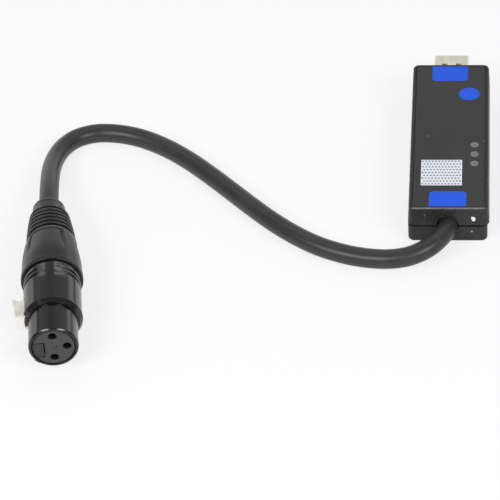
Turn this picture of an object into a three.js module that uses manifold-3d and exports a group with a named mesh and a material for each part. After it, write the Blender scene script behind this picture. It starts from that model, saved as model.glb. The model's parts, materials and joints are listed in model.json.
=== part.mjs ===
// A lighting controller on a lead: a flat plastic dongle with a type A plug at one end,
// and at the other end a short round cable that runs to a three-contact cable connector.
// Millimetres, +Z up. +Y points out of the plug, +X to the right of someone looking along +Y.
// The origin lies under the middle of the dongle, plug included, on the surface that it rests on.

import * as THREE from 'three';
import { mergeVertices } from 'three/addons/utils/BufferGeometryUtils.js';
import Module from 'manifold-3d';

const wasm = await Module();
wasm.setup();

// Gaps and facet counts shared by all pieces

const fitGap = 0.3;
const slideGap = 0.15;
const overrun = 1;
const roundSteps = 30;
const smallSteps = 16;
const cornerSteps = 4;

// Housing: cover over base. The cover's long sides flare towards the base, which is set in from them

const housing = {
  width: 26,
  length: 79,
  height: 14.4,
  parting: 6.9,
  wall: 1.6,
  floor: 1.6,
  roof: 1.3,
  corner: 2,
  topEdge: 0.5,
  bottomEdge: 1,
  flare: 0.4,
  baseInset: 0.35,
  baseEndInset: 0.1,
  step: 0.4,
  lipSkin: 1,
  lipHeight: 1.2,
};
const panel = { inset: 0.95, depth: 0.5, thickness: 0.4, corner: 1.2 };
const plug = { width: 12, height: 4.5, reach: 12, length: 18.8, sheet: 0.3, corner: 0.5, middle: 7.4 };
const cable = { radius: 3.25, sides: 12, steps: 40 };

// The dongle's ends: its length with the plug is centred on the origin

const totalLength = housing.length + plug.reach;
const tipY = totalLength / 2;
const frontY = -totalLength / 2;
const rearY = frontY + housing.length;
const middleY = (frontY + rearY) / 2;

// Levels inside the housing

const baseTop = housing.parting - fitGap / 2;
const coverBottom = housing.parting + fitGap / 2;
const recessFloor = housing.height - panel.depth;
const ceiling = recessFloor - housing.roof;
const coverInnerX = housing.width / 2 - housing.wall;
const coverInnerEnd = housing.length / 2 - housing.wall;
const baseOuterX = housing.width / 2 + housing.flare - housing.baseInset;
const baseOuterEnd = housing.length / 2 - housing.baseEndInset;
const baseInnerX = coverInnerX - housing.step;
const baseInnerEnd = coverInnerEnd - housing.step;
const lipOuterX = housing.width / 2 - housing.lipSkin - fitGap;
const lipOuterEnd = housing.length / 2 - housing.lipSkin - fitGap;
const lipTop = coverBottom + housing.lipHeight;

// Cable entry: a round hole on the parting plane, a tie behind it and a saddle behind that

const entry = { gap: 0.7, baseGap: 0.4, offset: -0.25, jacketInset: 8.5,
  saddleInset: 5.1, saddleThickness: 1.6, saddleWidth: 13 };
const tie = { thickness: 1.2, width: 2.4, headWidth: 3.4, headHeight: 3.8, slot: 0.9 };
const saddleY = frontY + entry.saddleInset + entry.saddleThickness / 2;
const tieY = (frontY + housing.wall + saddleY - entry.saddleThickness / 2) / 2;
const jacketStartY = frontY + entry.jacketInset;

// Circuit board and what holds it

const board = { thickness: 1.6, sideGap: 1.7, endGap: 0.4, jacketGap: 6.6, partGap: 0.4 };
const boardTop = plug.middle - plug.height / 2 - fitGap;
const boardBottom = boardTop - board.thickness;
const boardHalf = baseInnerX - board.sideGap;
const boardEnd = middleY + baseInnerEnd - board.endGap;
const boardStart = frontY + entry.jacketInset + board.jacketGap;
const post = { radius: 1.9, bore: 1.1, pin: 0.8, pinRise: 1, sideInset: 2.5, endInsets: [3.7, 9.5] };
const postX = boardHalf - post.sideInset;
const postYs = [boardStart + post.endInsets[0], boardEnd - post.endInsets[1]];

// Status lights under the cover

const light = { radius: 1.5, stem: 1.25, flange: 2.2, flangeThickness: 0.6, pitch: 5.1, count: 3,
  sideInset: 4.65, frontInset: 28.9 };
const lightX = housing.width / 2 - light.sideInset;
const lightY = frontY + light.frontInset;
const lightYs = Array.from({ length: light.count }, (_, i) => (
  lightY + (i - (light.count - 1) / 2) * light.pitch));
const led = { width: 1.6, length: 0.8, height: 0.6 };

// Snap hooks on the base, and the ledges in the cover that they catch under

const snap = {
  width: 5,
  arm: 0.8,
  ledge: 0.6,
  ledgeHeight: 0.8,
  ledgeRise: 2.2,
  head: 0.6,
  headHeight: 1,
  frontInset: 18.2,
  rearInset: 23.7,
};
const snapYs = [frontY + snap.frontInset, rearY - snap.rearInset];

// Cable connector. Stations run along its axis from its open face, which is at 0, to its cable end

const shell = {
  bore: 7.05,
  barrelRadius: 7.95,
  barrelLength: 12,
  rimChamfer: 0.45,
  collarRadius: 9.6,
  collarWidth: 1.9,
  collarSlope: 1.15,
  bodyRadius: 9.35,
  bodyLength: 17.6,
  spigotWall: 0.95,
  spigotLength: 11.5,
  grooveDepth: 0.55,
  grooveWidth: 1.1,
  groovePitch: 2.1,
  grooveInset: 1.9,
  grooveFlat: 2.7,
  keyWidth: 2,
  keyRise: 0.2,
  keyLength: 2.6,
  keyTurn: -134.6,
};
const collarFront = shell.barrelLength;
const collarRear = collarFront + shell.collarWidth;
const bodyEnd = collarRear + shell.bodyLength;
const spigotEnd = bodyEnd + shell.spigotLength;
const spigotRadius = shell.bore + shell.spigotWall;

const nut = { radius: 10.1, ringWidth: 2, waist: 9.87, rearRadius: 8.05, length: 19.8, bore: 6,
  coneLength: 3.2, swell: 2.7, rings: 7 };
const grip = { count: 3, depth: 0.35, rim: 1.8, width: 11.2, turn: -11.3, startShare: 0.34, fullShare: 0.62 };
const nutFront = bodyEnd + fitGap;
const nutRear = nutFront + nut.length;
const nutBore = spigotRadius + fitGap;
const coneStart = spigotEnd + fitGap;
const coneEnd = coneStart + nut.coneLength;

const relief = {
  radius: 8.1,
  endRadius: 6.85,
  taper: 1.35,
  flangeRadius: 7,
  ribs: 5,
  ribPitch: 2.07,
  ribWidth: 1.07,
  grooveDepth: 0.95,
  frontGroove: 0.65,
  shoulderRadius: 5.45,
  shoulderLength: 4.9,
  sleeveRadius: 5.4,
  sleeveLength: 2,
  endRound: 1.5,
  roundSteps: 3,
  neckLength: 4.2,
  leanStart: 50,
  leanSlope: 0.03,
};
const cableBore = cable.radius + fitGap;
const reliefFront = nutRear + fitGap;
const ribStart = reliefFront + relief.frontGroove;
const ribEnd = ribStart + relief.ribs * relief.ribPitch;
const shoulderEnd = ribEnd + relief.shoulderLength;
const reliefEnd = shoulderEnd + relief.sleeveLength + relief.endRound;
const neckRadius = nut.bore - fitGap;

const insert = { face: 0.1, length: 21.9, holeRadius: 1.3, holeDepth: 1.6, boreRadius: 1.9, circle: 4.3,
  keyDepth: 1, keyReach: 4, keyTop: 2.4, keyBottom: 3.4 };
const insertRadius = shell.bore - fitGap;
const insertEnd = insert.face + insert.length;
const contactAngles = [90, 0, 270];

const socket = { bore: 1.2, tipGap: 0.3, reach: 4, cupRadius: 1.05, cupBore: 0.7, cupLength: 3, depth: 12 };
const socketRadius = insert.boreRadius - fitGap;
const socketStart = insert.face + insert.holeDepth + socket.tipGap;
const socketEnd = insertEnd + socket.reach;

const chuck = { radius: 6.6, noseRadius: 5.2, start: 33, slit: 0.8, teeth: 4 };
const chuckEnd = coneEnd - fitGap;
const jacketEndStation = chuck.start + overrun;

// Latch: a lever on a cross pin near the open face, with its thumb tab behind the collar

const latch = {
  pivotX: -5.4,
  pivotStation: 4.6,
  pinRadius: 0.5,
  eyeRadius: 1.05,
  armWidth: 3,
  armThickness: 0.9,
  armX: -6.5,
  noseStation: 8.1,
  noseLength: 1.6,
  noseRise: 0.5,
  noseWidth: 2.6,
  tabStart: 12.9,
  tabEnd: 20.5,
  tabFrontX: -11.7,
  tabRearX: -12.7,
  tabWidth: 6,
  tabSheet: 0.8,
  tabFootX: -7.4,
  lipReach: 0.7,
  lipHeight: 0.6,
  tailReach: 1.3,
};
const latchSlack = 1;
const channelFloorX = latch.pivotX + latch.eyeRadius + fitGap;
const tabChannelX = -2.9;
const spring = { radius: 1.8, wire: 0.22, turns: 6, station: 17.2, sides: 5, stepsPerTurn: 10 };
const springPeg = { radius: 1.1, height: 1.4 };

// Where the connector lies: its face centre, and how far its axis is turned from the dongle's

const place = { x: -123.175, y: -110.04, z: nut.radius, turn: THREE.MathUtils.degToRad(7.25) };

// The lead's middle line, from inside the dongle to inside the connector

const route = [
  [0.0, -37.0, 6.9], [0.0, -41.2, 6.9], [-0.25, -45.9, 6.9], [-2.75, -51.4, 6.6], [-7.0, -56.0, 5.9],
  [-12.6, -58.6, 4.9], [-19.0, -59.1, 4.05], [-26.4, -57.9, 3.45], [-34.0, -55.7, 3.3], [-42.4, -51.8, 3.3],
  [-50.5, -46.1, 3.3], [-58.4, -39.0, 3.3], [-66.0, -31.0, 3.3], [-73.6, -22.5, 3.3], [-81.4, -13.9, 3.3],
  [-89.4, -5.8, 3.3], [-97.9, 1.2, 3.3], [-106.9, 6.4, 3.3], [-115.0, 8.8, 3.3], [-122.4, 8.95, 3.3],
  [-128.55, 6.3, 3.35], [-132.6, 0.95, 3.65], [-134.55, -6.0, 4.55], [-135.0, -14.0, 6.1],
  [-134.5, -22.5, 7.85], [-133.7, -30.5, 9.3], [-132.95, -37.2, 10.0], [-131.98, -44.63, 10.1],
  [-130.26, -55.5, 10.1], [-128.73, -66.39, 10.1], [-127.63, -75.02, 10.1],
];

// Materials

function finish(color, roughness, metalness) {
  return new THREE.MeshStandardMaterial({ color, roughness, metalness });
}

const blackPlastic = finish(0x2c2c2e, 0.45, 0);
const labelFilm = finish(0x343437, 0.5, 0);
const lampPlastic = finish(0x7d7f82, 0.35, 0);
const platedSteel = finish(0xb9b3a2, 0.3, 0.9);
const whitePlastic = finish(0xe8e8e4, 0.5, 0);
const goldPlate = finish(0xc9a24a, 0.3, 1);
const boardGreen = finish(0x1f5a33, 0.5, 0);
const chipBlack = finish(0x1c1c1e, 0.55, 0);
const tinned = finish(0xc4c6c8, 0.35, 0.9);
const ledWhite = finish(0xf0efe4, 0.4, 0);
const ceramic = finish(0xb39b78, 0.5, 0);
const nylon = finish(0x26262a, 0.5, 0);
const jacketRubber = finish(0x262628, 0.6, 0);
const wireColors = [finish(0xb7b7b2, 0.5, 0), finish(0x9c2b2b, 0.5, 0), finish(0x2d5aa0, 0.5, 0)];
const blackMetal = finish(0x242426, 0.28, 0.7);
const insertPlastic = finish(0x3b3b3e, 0.5, 0);
const latchMetal = finish(0xc9c0a8, 0.35, 0.85);
const springSteel = finish(0xaeb2b6, 0.3, 1);
const softBlack = finish(0x29292b, 0.65, 0);

// Solids: a three.js geometry becomes a closed solid, with every face pointing out

function solid(geometry) {
  const plain = geometry.clone();
  plain.deleteAttribute('normal');
  plain.deleteAttribute('uv');
  const merged = mergeVertices(plain);
  const points = merged.attributes.position.array;
  const corners = merged.index.array;
  const triangles = [];
  const a = new THREE.Vector3();
  const b = new THREE.Vector3();
  const c = new THREE.Vector3();
  let volume = 0;
  for (let i = 0; i < corners.length; i += 3) {
    const [p, q, r] = corners.slice(i, i + 3);
    if (p === q || q === r || r === p) continue;
    triangles.push([p, q, r]);
    a.fromArray(points, 3 * p);
    b.fromArray(points, 3 * q);
    c.fromArray(points, 3 * r);
    volume += a.dot(b.cross(c));
  }
  const outward = triangles.map(([p, q, r]) => (volume > 0 ? [p, q, r] : [p, r, q]));
  const mesh = new wasm.Mesh({
    numProp: 3,
    vertProperties: Float32Array.from(points),
    triVerts: Uint32Array.from(outward.flat()),
  });
  return new wasm.Manifold(mesh);
}

function surface(body) {
  const mesh = body.getMesh();
  const geometry = new THREE.BufferGeometry();
  geometry.setAttribute('position', new THREE.BufferAttribute(mesh.vertProperties, 3));
  geometry.setIndex(new THREE.BufferAttribute(mesh.triVerts, 1));
  const faceted = geometry.toNonIndexed();
  faceted.computeVertexNormals();
  return faceted;
}

// A block between two corners

function block(low, high) {
  const size = low.map((value, i) => high[i] - value);
  const middle = low.map((value, i) => (value + high[i]) / 2);
  return solid(new THREE.BoxGeometry(...size).translate(...middle));
}

// A round bar from one point along an axis: 'x', 'y' or 'z'

function bar(radius, length, axis, x, y, z, steps = smallSteps) {
  const geometry = new THREE.CylinderGeometry(radius, radius, length, steps);
  geometry.translate(0, length / 2, 0);
  if (axis === 'x') geometry.rotateZ(-Math.PI / 2);
  if (axis === 'z') geometry.rotateX(Math.PI / 2);
  return solid(geometry.translate(x, y, z));
}

// A closed profile of [radius, station] pairs turned about the Y axis

function turned(profile, steps = roundSteps) {
  const points = profile.map(([radius, station]) => new THREE.Vector2(radius, station));
  points.push(points[0].clone());
  return solid(new THREE.LatheGeometry(points, steps));
}

// The corner points of a rectangle with rounded corners, centred on the origin

function roundedRectangle(width, height, radius, steps = cornerSteps) {
  const points = [];
  const centres = [[1, 1], [-1, 1], [-1, -1], [1, -1]];
  centres.forEach(([sx, sy], corner) => {
    for (let i = 0; i <= steps; i += 1) {
      const angle = (corner + i / steps) * Math.PI / 2;
      const x = sx * (width / 2 - radius) + radius * Math.cos(angle);
      const y = sy * (height / 2 - radius) + radius * Math.sin(angle);
      points.push(new THREE.Vector2(x, y));
    }
  });
  return points;
}

// A slab with rounded corners in plan, from one level to another, over the middle of the housing

function slab(width, length, corner, bottom, top) {
  const outline = new THREE.Shape(roundedRectangle(width, length, corner));
  const geometry = new THREE.ExtrudeGeometry(outline, { depth: top - bottom, bevelEnabled: false });
  return solid(geometry.translate(0, middleY, bottom));
}

// The same with its upper and lower rims rounded

function softSlab(width, length, corner, edge, bottom, top) {
  const outline = new THREE.Shape(roundedRectangle(width, length, corner));
  const geometry = new THREE.ExtrudeGeometry(outline, {
    depth: top - bottom - 2 * edge,
    bevelThickness: edge,
    bevelSize: edge,
    bevelOffset: -edge,
    bevelSegments: 3,
  });
  return solid(geometry.translate(0, middleY, bottom + edge));
}

// An outline in the YZ plane, extruded by a width centred on x

function sideProfile(points, width, x) {
  const outline = new THREE.Shape(points.map(([y, z]) => new THREE.Vector2(y, z)));
  const geometry = new THREE.ExtrudeGeometry(outline, { depth: width, bevelEnabled: false });
  geometry.rotateZ(Math.PI / 2).rotateY(Math.PI / 2);
  return solid(geometry.translate(x - width / 2, 0, 0));
}

// A round tube along a smooth curve through points

function tube(points, radius, sides, steps) {
  const curve = new THREE.CatmullRomCurve3(points.map((p) => new THREE.Vector3(...p)));
  const section = Array.from({ length: sides }, (_, i) => {
    const angle = 2 * Math.PI * i / sides;
    return new THREE.Vector2(radius * Math.cos(angle), radius * Math.sin(angle));
  });
  const options = { steps, bevelEnabled: false, extrudePath: curve };
  return solid(new THREE.ExtrudeGeometry(new THREE.Shape(section), options));
}

const union = (bodies) => bodies.reduce((sum, body) => sum.add(body));
const cut = (body, cutters) => cutters.reduce((rest, cutter) => rest.subtract(cutter), body);

const group = new THREE.Group();
const connector = new THREE.Group();
connector.position.set(place.x, place.y, place.z);
connector.rotation.z = place.turn;
group.add(connector);

function piece(name, body, material, parent = group) {
  const mesh = new THREE.Mesh(surface(body), material);
  mesh.name = name;
  parent.add(mesh);
}

// Openings that the cover and the base share

function entryHole(gap) {
  const start = frontY - overrun;
  const depth = housing.wall + housing.lipSkin + 2 * overrun;
  return bar(cable.radius + gap, depth, 'y', entry.offset, start, housing.parting, 2 * smallSteps);
}

function plugHole() {
  const half = [plug.width / 2 + fitGap, plug.height / 2 + fitGap];
  const start = rearY - housing.wall - housing.lipSkin - overrun;
  return block([-half[0], start, plug.middle - half[1]], [half[0], rearY + overrun, plug.middle + half[1]]);
}

function saddleHole() {
  const start = saddleY - entry.saddleThickness / 2 - overrun;
  return bar(cableBore, entry.saddleThickness + 2 * overrun, 'y', 0, start, housing.parting, 2 * smallSteps);
}

function saddleRib(low, high) {
  const half = entry.saddleWidth / 2;
  const start = saddleY - entry.saddleThickness / 2;
  return cut(block([-half, start, low], [half, start + entry.saddleThickness, high]), [saddleHole()]);
}

const sides = [-1, 1];

function eachCorner(make, ys) {
  return sides.flatMap((side) => ys.map((y) => make(side, y)));
}

// The lower and higher x of a stretch between two distances from the middle, on one side

function span(side, near, far) {
  return side > 0 ? [near, far] : [-far, -near];
}

// Upper cover: roof with the label's recess, a rebate for the base's lip, sleeves over the board's pins

function upperCover() {
  const upright = softSlab(housing.width, housing.length, housing.corner, housing.topEdge, 0, housing.height);
  const outer = upright.warp((point) => {
    const drop = (housing.height - point[2]) / (housing.height - coverBottom);
    point[0] += Math.sign(point[0]) * housing.flare * drop;
  });
  const below = block([-housing.width, -totalLength, -overrun], [housing.width, totalLength, coverBottom]);
  const cavity = slab(2 * coverInnerX, 2 * coverInnerEnd, housing.corner - housing.lipSkin, 0, ceiling);
  const rebateX = lipOuterX + fitGap;
  const rebateEnd = lipOuterEnd + fitGap;
  const rebate = slab(2 * rebateX, 2 * rebateEnd, housing.corner - housing.lipSkin, 0, lipTop + fitGap);
  const recessWidth = housing.width - 2 * (panel.inset - slideGap);
  const recessLength = housing.length - 2 * (panel.inset - slideGap);
  const recessTop = housing.height + overrun;
  const recess = slab(recessWidth, recessLength, panel.corner + slideGap, recessFloor, recessTop);
  const windows = lightYs.map((y) => bar(light.radius + slideGap, 2 * housing.roof + overrun, 'z', lightX, y,
    ceiling - overrun));
  const sleeves = eachCorner((side, y) => {
    const depth = ceiling - boardTop - fitGap;
    const sleeve = bar(post.radius, depth + overrun, 'z', side * postX, y, boardTop + fitGap);
    const clearance = bar(post.bore, post.pinRise + fitGap, 'z', side * postX, y, boardTop);
    return sleeve.subtract(clearance);
  }, postYs);
  const ledgeLow = lipTop + snap.ledgeRise;
  const ledges = eachCorner((side, y) => {
    const [left, right] = span(side, coverInnerX - snap.ledge, coverInnerX + housing.wall / 2);
    const ledgeTop = ledgeLow + snap.ledgeHeight;
    return block([left, y - snap.width / 2, ledgeLow], [right, y + snap.width / 2, ledgeTop]);
  }, snapYs);
  const hollow = cut(outer, [below, cavity, rebate, recess]);
  const saddle = saddleRib(coverBottom, ceiling + housing.roof / 2);
  return cut(union([hollow, ...sleeves, ...ledges, saddle]), [...windows, entryHole(entry.gap), plugHole()]);
}

// Lower base: floor and walls, lip, standoffs with pins, cable saddle and snap hooks

function snapHook(side, y) {
  const armOuter = coverInnerX - snap.ledge - fitGap;
  const armInner = armOuter - snap.arm;
  const ledgeTop = lipTop + snap.ledgeRise + snap.ledgeHeight;
  const headLow = ledgeTop + fitGap;
  const headHigh = headLow + snap.headHeight;
  const headOuter = armOuter + snap.head;
  const rootTop = baseTop - fitGap;
  const outline = [
    [armInner, housing.floor / 2], [baseInnerX + housing.wall / 2, housing.floor / 2],
    [baseInnerX + housing.wall / 2, rootTop], [armOuter, rootTop], [armOuter, headLow], [headOuter, headLow],
    [armOuter, headHigh], [armInner, headHigh],
  ];
  const shape = new THREE.Shape(outline.map(([x, z]) => new THREE.Vector2(side * x, z)));
  const geometry = new THREE.ExtrudeGeometry(shape, { depth: snap.width, bevelEnabled: false });
  return solid(geometry.rotateX(Math.PI / 2).translate(0, y + snap.width / 2, 0));
}

function lowerBase() {
  const outer = softSlab(2 * baseOuterX, 2 * baseOuterEnd, housing.corner, housing.bottomEdge, 0,
    housing.height);
  const above = block([-housing.width, -totalLength, baseTop], [housing.width, totalLength,
    housing.height + overrun]);
  const lipCorner = housing.corner - housing.lipSkin - fitGap;
  const lipOutside = slab(2 * lipOuterX, 2 * lipOuterEnd, lipCorner, baseTop - overrun, lipTop);
  const cavity = slab(2 * baseInnerX, 2 * baseInnerEnd, housing.corner - housing.lipSkin, housing.floor,
    housing.height);
  const pillars = eachCorner((side, y) => {
    const pillar = bar(post.radius, boardBottom - housing.floor / 2, 'z', side * postX, y, housing.floor / 2);
    return pillar.subtract(block([-housing.width, -totalLength, boardBottom],
      [housing.width, totalLength, housing.height])).add(bar(post.pin,
      boardTop + post.pinRise - housing.floor, 'z', side * postX, y, housing.floor));
  }, postYs);
  const saddle = saddleRib(housing.floor / 2, baseTop);
  const hooks = eachCorner(snapHook, snapYs);
  const tray = cut(cut(outer, [above]).add(lipOutside), [cavity, entryHole(entry.baseGap), plugHole()]);
  return union([tray, ...pillars, saddle, ...hooks]);
}

piece('upper_cover', upperCover(), blackPlastic);
piece('lower_base', lowerBase(), blackPlastic);

// Printed film on the roof, with three round windows

function facePanel() {
  const width = housing.width - 2 * panel.inset;
  const length = housing.length - 2 * panel.inset;
  const film = slab(width, length, panel.corner, recessFloor, recessFloor + panel.thickness);
  return cut(film, lightYs.map((y) => bar(light.radius + slideGap, panel.depth + 2 * overrun, 'z', lightX, y,
    recessFloor - overrun)));
}

piece('face_panel', facePanel(), labelFilm);

// Light guides: a frosted window, a flange under the roof and a stem down to its lamp

function lightGuide(y) {
  const stemEnd = boardTop + led.height + fitGap;
  const flangeTop = ceiling - slideGap;
  const flangeLow = flangeTop - light.flangeThickness;
  const top = recessFloor + panel.thickness;
  const stem = bar(light.stem, flangeTop - stemEnd, 'z', lightX, y, stemEnd);
  const flange = bar(light.flange, flangeTop - flangeLow, 'z', lightX, y, flangeLow);
  const window = bar(light.radius, top - flangeLow, 'z', lightX, y, flangeLow);
  return union([stem, flange, window]);
}

lightYs.forEach((y, i) => {
  piece(`light_window_${i + 1}`, lightGuide(y), lampPlastic);
  const half = [led.width / 2, led.length / 2];
  const lamp = block([lightX - half[0], y - half[1], boardTop], [lightX + half[0], y + half[1],
    boardTop + led.height]);
  piece(`status_led_${i + 1}`, lamp, ledWhite);
});

// Type A plug: folded sheet shell with spring windows and two legs through the board

const plugWindow = { width: 2, length: 2.2, fromTip: 5.1, offset: 2.5 };
const leg = { width: 1.6, thickness: 0.5, inset: 2.1, drop: 0.6 };
const shellStart = tipY - plug.length;
const legY = shellStart + leg.inset;

function plugShell() {
  const outline = new THREE.Shape(roundedRectangle(plug.width, plug.height, plug.corner));
  const innerWidth = plug.width - 2 * plug.sheet;
  const innerHeight = plug.height - 2 * plug.sheet;
  const inner = roundedRectangle(innerWidth, innerHeight, plug.corner - plug.sheet);
  outline.holes.push(new THREE.Path(inner));
  const geometry = new THREE.ExtrudeGeometry(outline, { depth: plug.length, bevelEnabled: false });
  geometry.rotateX(Math.PI / 2).translate(0, tipY, plug.middle);
  const windows = sides.map((side) => {
    const x = side * plugWindow.offset;
    const far = tipY - plugWindow.fromTip;
    return block([x - plugWindow.width / 2, far - plugWindow.length, plug.middle - plug.height],
      [x + plugWindow.width / 2, far, plug.middle + plug.height]);
  });
  const legs = sides.map((side) => {
    const [left, right] = span(side, plug.width / 2 - leg.thickness, plug.width / 2);
    const top = plug.middle - plug.height / 2 + 2 * plug.corner;
    return block([left, legY, boardBottom - leg.drop], [right, legY + leg.width, top]);
  });
  const interior = block([-innerWidth / 2, shellStart - overrun, plug.middle - innerHeight / 2],
    [innerWidth / 2, tipY + overrun, plug.middle + innerHeight / 2]);
  return cut(solid(geometry), windows).add(union(legs).subtract(interior));
}

piece('usb_shell', plugShell(), platedSteel);

// Insulator: a tongue along the lower half of the shell and a block at its back, grooved for the strips

const strip = { width: 1, thickness: 0.25, footLength: 1.5 };
strip.offsets = [-3.5, -1, 1, 3.5];
strip.setBacks = [1, 2, 2, 1];
const tongue = { thickness: 1.85, setBack: 0.6, blockLength: 3.6 };
const tongueLow = plug.middle - plug.height / 2 + plug.sheet + slideGap;
const tongueTop = tongueLow + tongue.thickness;
const tongueHalf = plug.width / 2 - plug.sheet - slideGap;
const blockTop = plug.middle + plug.height / 2 - plug.sheet - slideGap;
const tongueEnd = tipY - tongue.setBack;
const stripBack = shellStart - fitGap - strip.thickness;

function insulator() {
  const blade = block([-tongueHalf, shellStart, tongueLow], [tongueHalf, tongueEnd, tongueTop]);
  const rearEnd = shellStart + tongue.blockLength;
  const rear = block([-tongueHalf, shellStart, tongueLow], [tongueHalf, rearEnd, blockTop]);
  const grooves = strip.offsets.map((x) => {
    const half = strip.width / 2 + fitGap;
    return block([x - half, shellStart - overrun, tongueTop],
      [x + half, rearEnd + overrun, blockTop + overrun]);
  });
  return cut(blade.add(rear), grooves);
}

piece('usb_insulator', insulator(), whitePlastic);

strip.offsets.forEach((x, i) => {
  const front = tongueEnd - strip.setBacks[i];
  const top = tongueTop + strip.thickness;
  const inner = stripBack + strip.thickness;
  const foot = inner - strip.footLength;
  const outline = [
    [foot, boardTop], [inner, boardTop], [inner, tongueTop], [front, tongueTop], [front, top],
    [stripBack, top], [stripBack, boardTop + strip.thickness], [foot, boardTop + strip.thickness],
  ];
  piece(`usb_contact_${i + 1}`, sideProfile(outline, strip.width, x), goldPlate);
});

// Circuit board with holes for the pins and slots for the plug's legs

function circuitBoard() {
  const plate = block([-boardHalf, boardStart, boardBottom], [boardHalf, boardEnd, boardTop]);
  const holes = eachCorner((side, y) => bar(post.bore, board.thickness + 2 * overrun, 'z', side * postX, y,
    boardBottom - overrun), postYs);
  const slots = sides.map((side) => {
    const [left, right] = span(side, plug.width / 2 - leg.thickness - fitGap, plug.width / 2 + fitGap);
    return block([left, legY - fitGap, boardBottom - overrun],
      [right, legY + leg.width + fitGap, boardTop + overrun]);
  });
  return cut(plate, [...holes, ...slots]);
}

piece('circuit_board', circuitBoard(), boardGreen);

// Chips: a moulded body with a row of bent leads on two or four sides

function packaged(chip, x, y) {
  const { width, length, height, leads, pitch, leadWidth, leadReach, leadThickness, sidesUsed } = chip;
  const low = boardTop + leadThickness;
  const middle = boardTop + height / 2;
  const body = block([-width / 2, -length / 2, low], [width / 2, length / 2, boardTop + height]);
  const bend = width / 2 + leadReach / 2;
  const outline = [
    [width / 2 - leadThickness, middle - leadThickness], [bend - leadThickness, middle - leadThickness],
    [bend - leadThickness, boardTop], [width / 2 + leadReach, boardTop],
    [width / 2 + leadReach, boardTop + leadThickness], [bend, boardTop + leadThickness],
    [bend, middle], [width / 2 - leadThickness, middle],
  ];
  const shape = new THREE.Shape(outline.map(([across, z]) => new THREE.Vector2(across, z)));
  const rows = [];
  for (let turn = 0; turn < sidesUsed; turn += 1) {
    for (let i = 0; i < leads; i += 1) {
      const along = (i - (leads - 1) / 2) * pitch;
      const geometry = new THREE.ExtrudeGeometry(shape, { depth: leadWidth, bevelEnabled: false });
      geometry.rotateX(Math.PI / 2).translate(0, along + leadWidth / 2, 0);
      geometry.rotateZ(2 * Math.PI * turn / sidesUsed);
      rows.push(solid(geometry));
    }
  }
  return union([body, ...rows]).translate([x, y, 0]);
}

const controllerChip = {
  width: 7,
  length: 7,
  height: 1.4,
  leads: 6,
  pitch: 1,
  leadWidth: 0.4,
  leadReach: 1,
  leadThickness: 0.2,
  sidesUsed: 4,
};
const driverChip = {
  width: 3.9,
  length: 4.9,
  height: 1.6,
  leads: 4,
  pitch: 1.27,
  leadWidth: 0.42,
  leadReach: 1.05,
  leadThickness: 0.25,
  sidesUsed: 2,
};
const regulatorChip = {
  width: 1.6,
  length: 2.9,
  height: 1.1,
  leads: 2,
  pitch: 1.9,
  leadWidth: 0.4,
  leadReach: 0.6,
  leadThickness: 0.15,
  sidesUsed: 2,
};
const crystal = { width: 3.2, length: 5, height: 1.1 };
const radio = { width: 12, length: 15, thickness: 0.8 };
const can = { width: 9, length: 9.5, height: 1.8, inset: 0.8 };
const capacitor = { width: 1.6, length: 3.2, height: 1.5 };

// Places on the board: a middle column down from the rear posts, and small parts beside it

const columnShares = { controller: -0.28, radio: -0.194, driver: -0.344 };
const chipReach = (chip) => chip.width / 2 + chip.leadReach;
const controllerX = columnShares.controller * boardHalf;
const controllerY = postYs[1] - post.radius - board.partGap - chipReach(controllerChip);
const radioX = columnShares.radio * boardHalf;
const radioY = controllerY - chipReach(controllerChip) - board.partGap - radio.length / 2;
const canY = radioY + (radio.length - can.length) / 2 - can.inset;
const driverX = columnShares.driver * boardHalf;
const driverY = radioY - radio.length / 2 - board.partGap - driverChip.length / 2;
const besideController = controllerX + chipReach(controllerChip) + board.partGap;
const crystalX = besideController + crystal.width / 2;
const crystalY = controllerY + chipReach(controllerChip) - crystal.length / 2;
const regulatorX = besideController + chipReach(regulatorChip);
const regulatorY = crystalY - crystal.length / 2 - board.partGap - regulatorChip.length / 2;
const capacitorStep = board.partGap + capacitor.width / 2;
const besideRadio = radioX + radio.width / 2 + capacitorStep;
const capacitorSpots = [
  [besideRadio, regulatorY - (regulatorChip.length + capacitor.length) / 2 - board.partGap],
  [besideRadio, radioY],
  [driverX, driverY - driverChip.length / 2 - board.partGap - capacitor.length / 2],
  [driverX + chipReach(driverChip) + capacitorStep, driverY],
];

piece('controller_chip', packaged(controllerChip, controllerX, controllerY), chipBlack);
piece('line_driver_chip', packaged(driverChip, driverX, driverY), chipBlack);
piece('voltage_regulator', packaged(regulatorChip, regulatorX, regulatorY), chipBlack);

function onBoard(width, length, height, x, y, lift = 0) {
  const low = boardTop + lift;
  return block([x - width / 2, y - length / 2, low], [x + width / 2, y + length / 2, low + height]);
}

piece('clock_crystal', onBoard(crystal.width, crystal.length, crystal.height, crystalX, crystalY), tinned);
piece('radio_module', onBoard(radio.width, radio.length, radio.thickness, radioX, radioY), boardGreen);
piece('radio_shield', onBoard(can.width, can.length, can.height, radioX, canY, radio.thickness), tinned);
capacitorSpots.forEach(([x, y], i) => {
  piece(`capacitor_${i + 1}`, onBoard(capacitor.width, capacitor.length, capacitor.height, x, y), ceramic);
});

// Cable tie round the jacket, between the end wall and the saddle

function cableTie() {
  const inner = cableBore;
  const outer = inner + tie.thickness;
  const ring = turned([[inner, 0], [outer, 0], [outer, tie.width], [inner, tie.width]], 2 * smallSteps);
  const start = tieY - tie.width / 2;
  const placed = ring.translate([0, start, housing.parting]);
  const head = block([inner + tie.thickness / 2, start, housing.parting - tie.headHeight / 2],
    [inner + tie.headWidth, start + tie.width, housing.parting + tie.headHeight / 2]);
  const slotX = outer + (tie.headWidth - tie.thickness) / 2 - tie.slot / 2;
  const slot = block([slotX, start + tie.slot, housing.parting - tie.headHeight],
    [slotX + tie.slot, start + tie.width - tie.slot, housing.parting + tie.headHeight]);
  return placed.add(head).subtract(slot);
}

piece('cable_tie', cableTie(), nylon);

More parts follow.
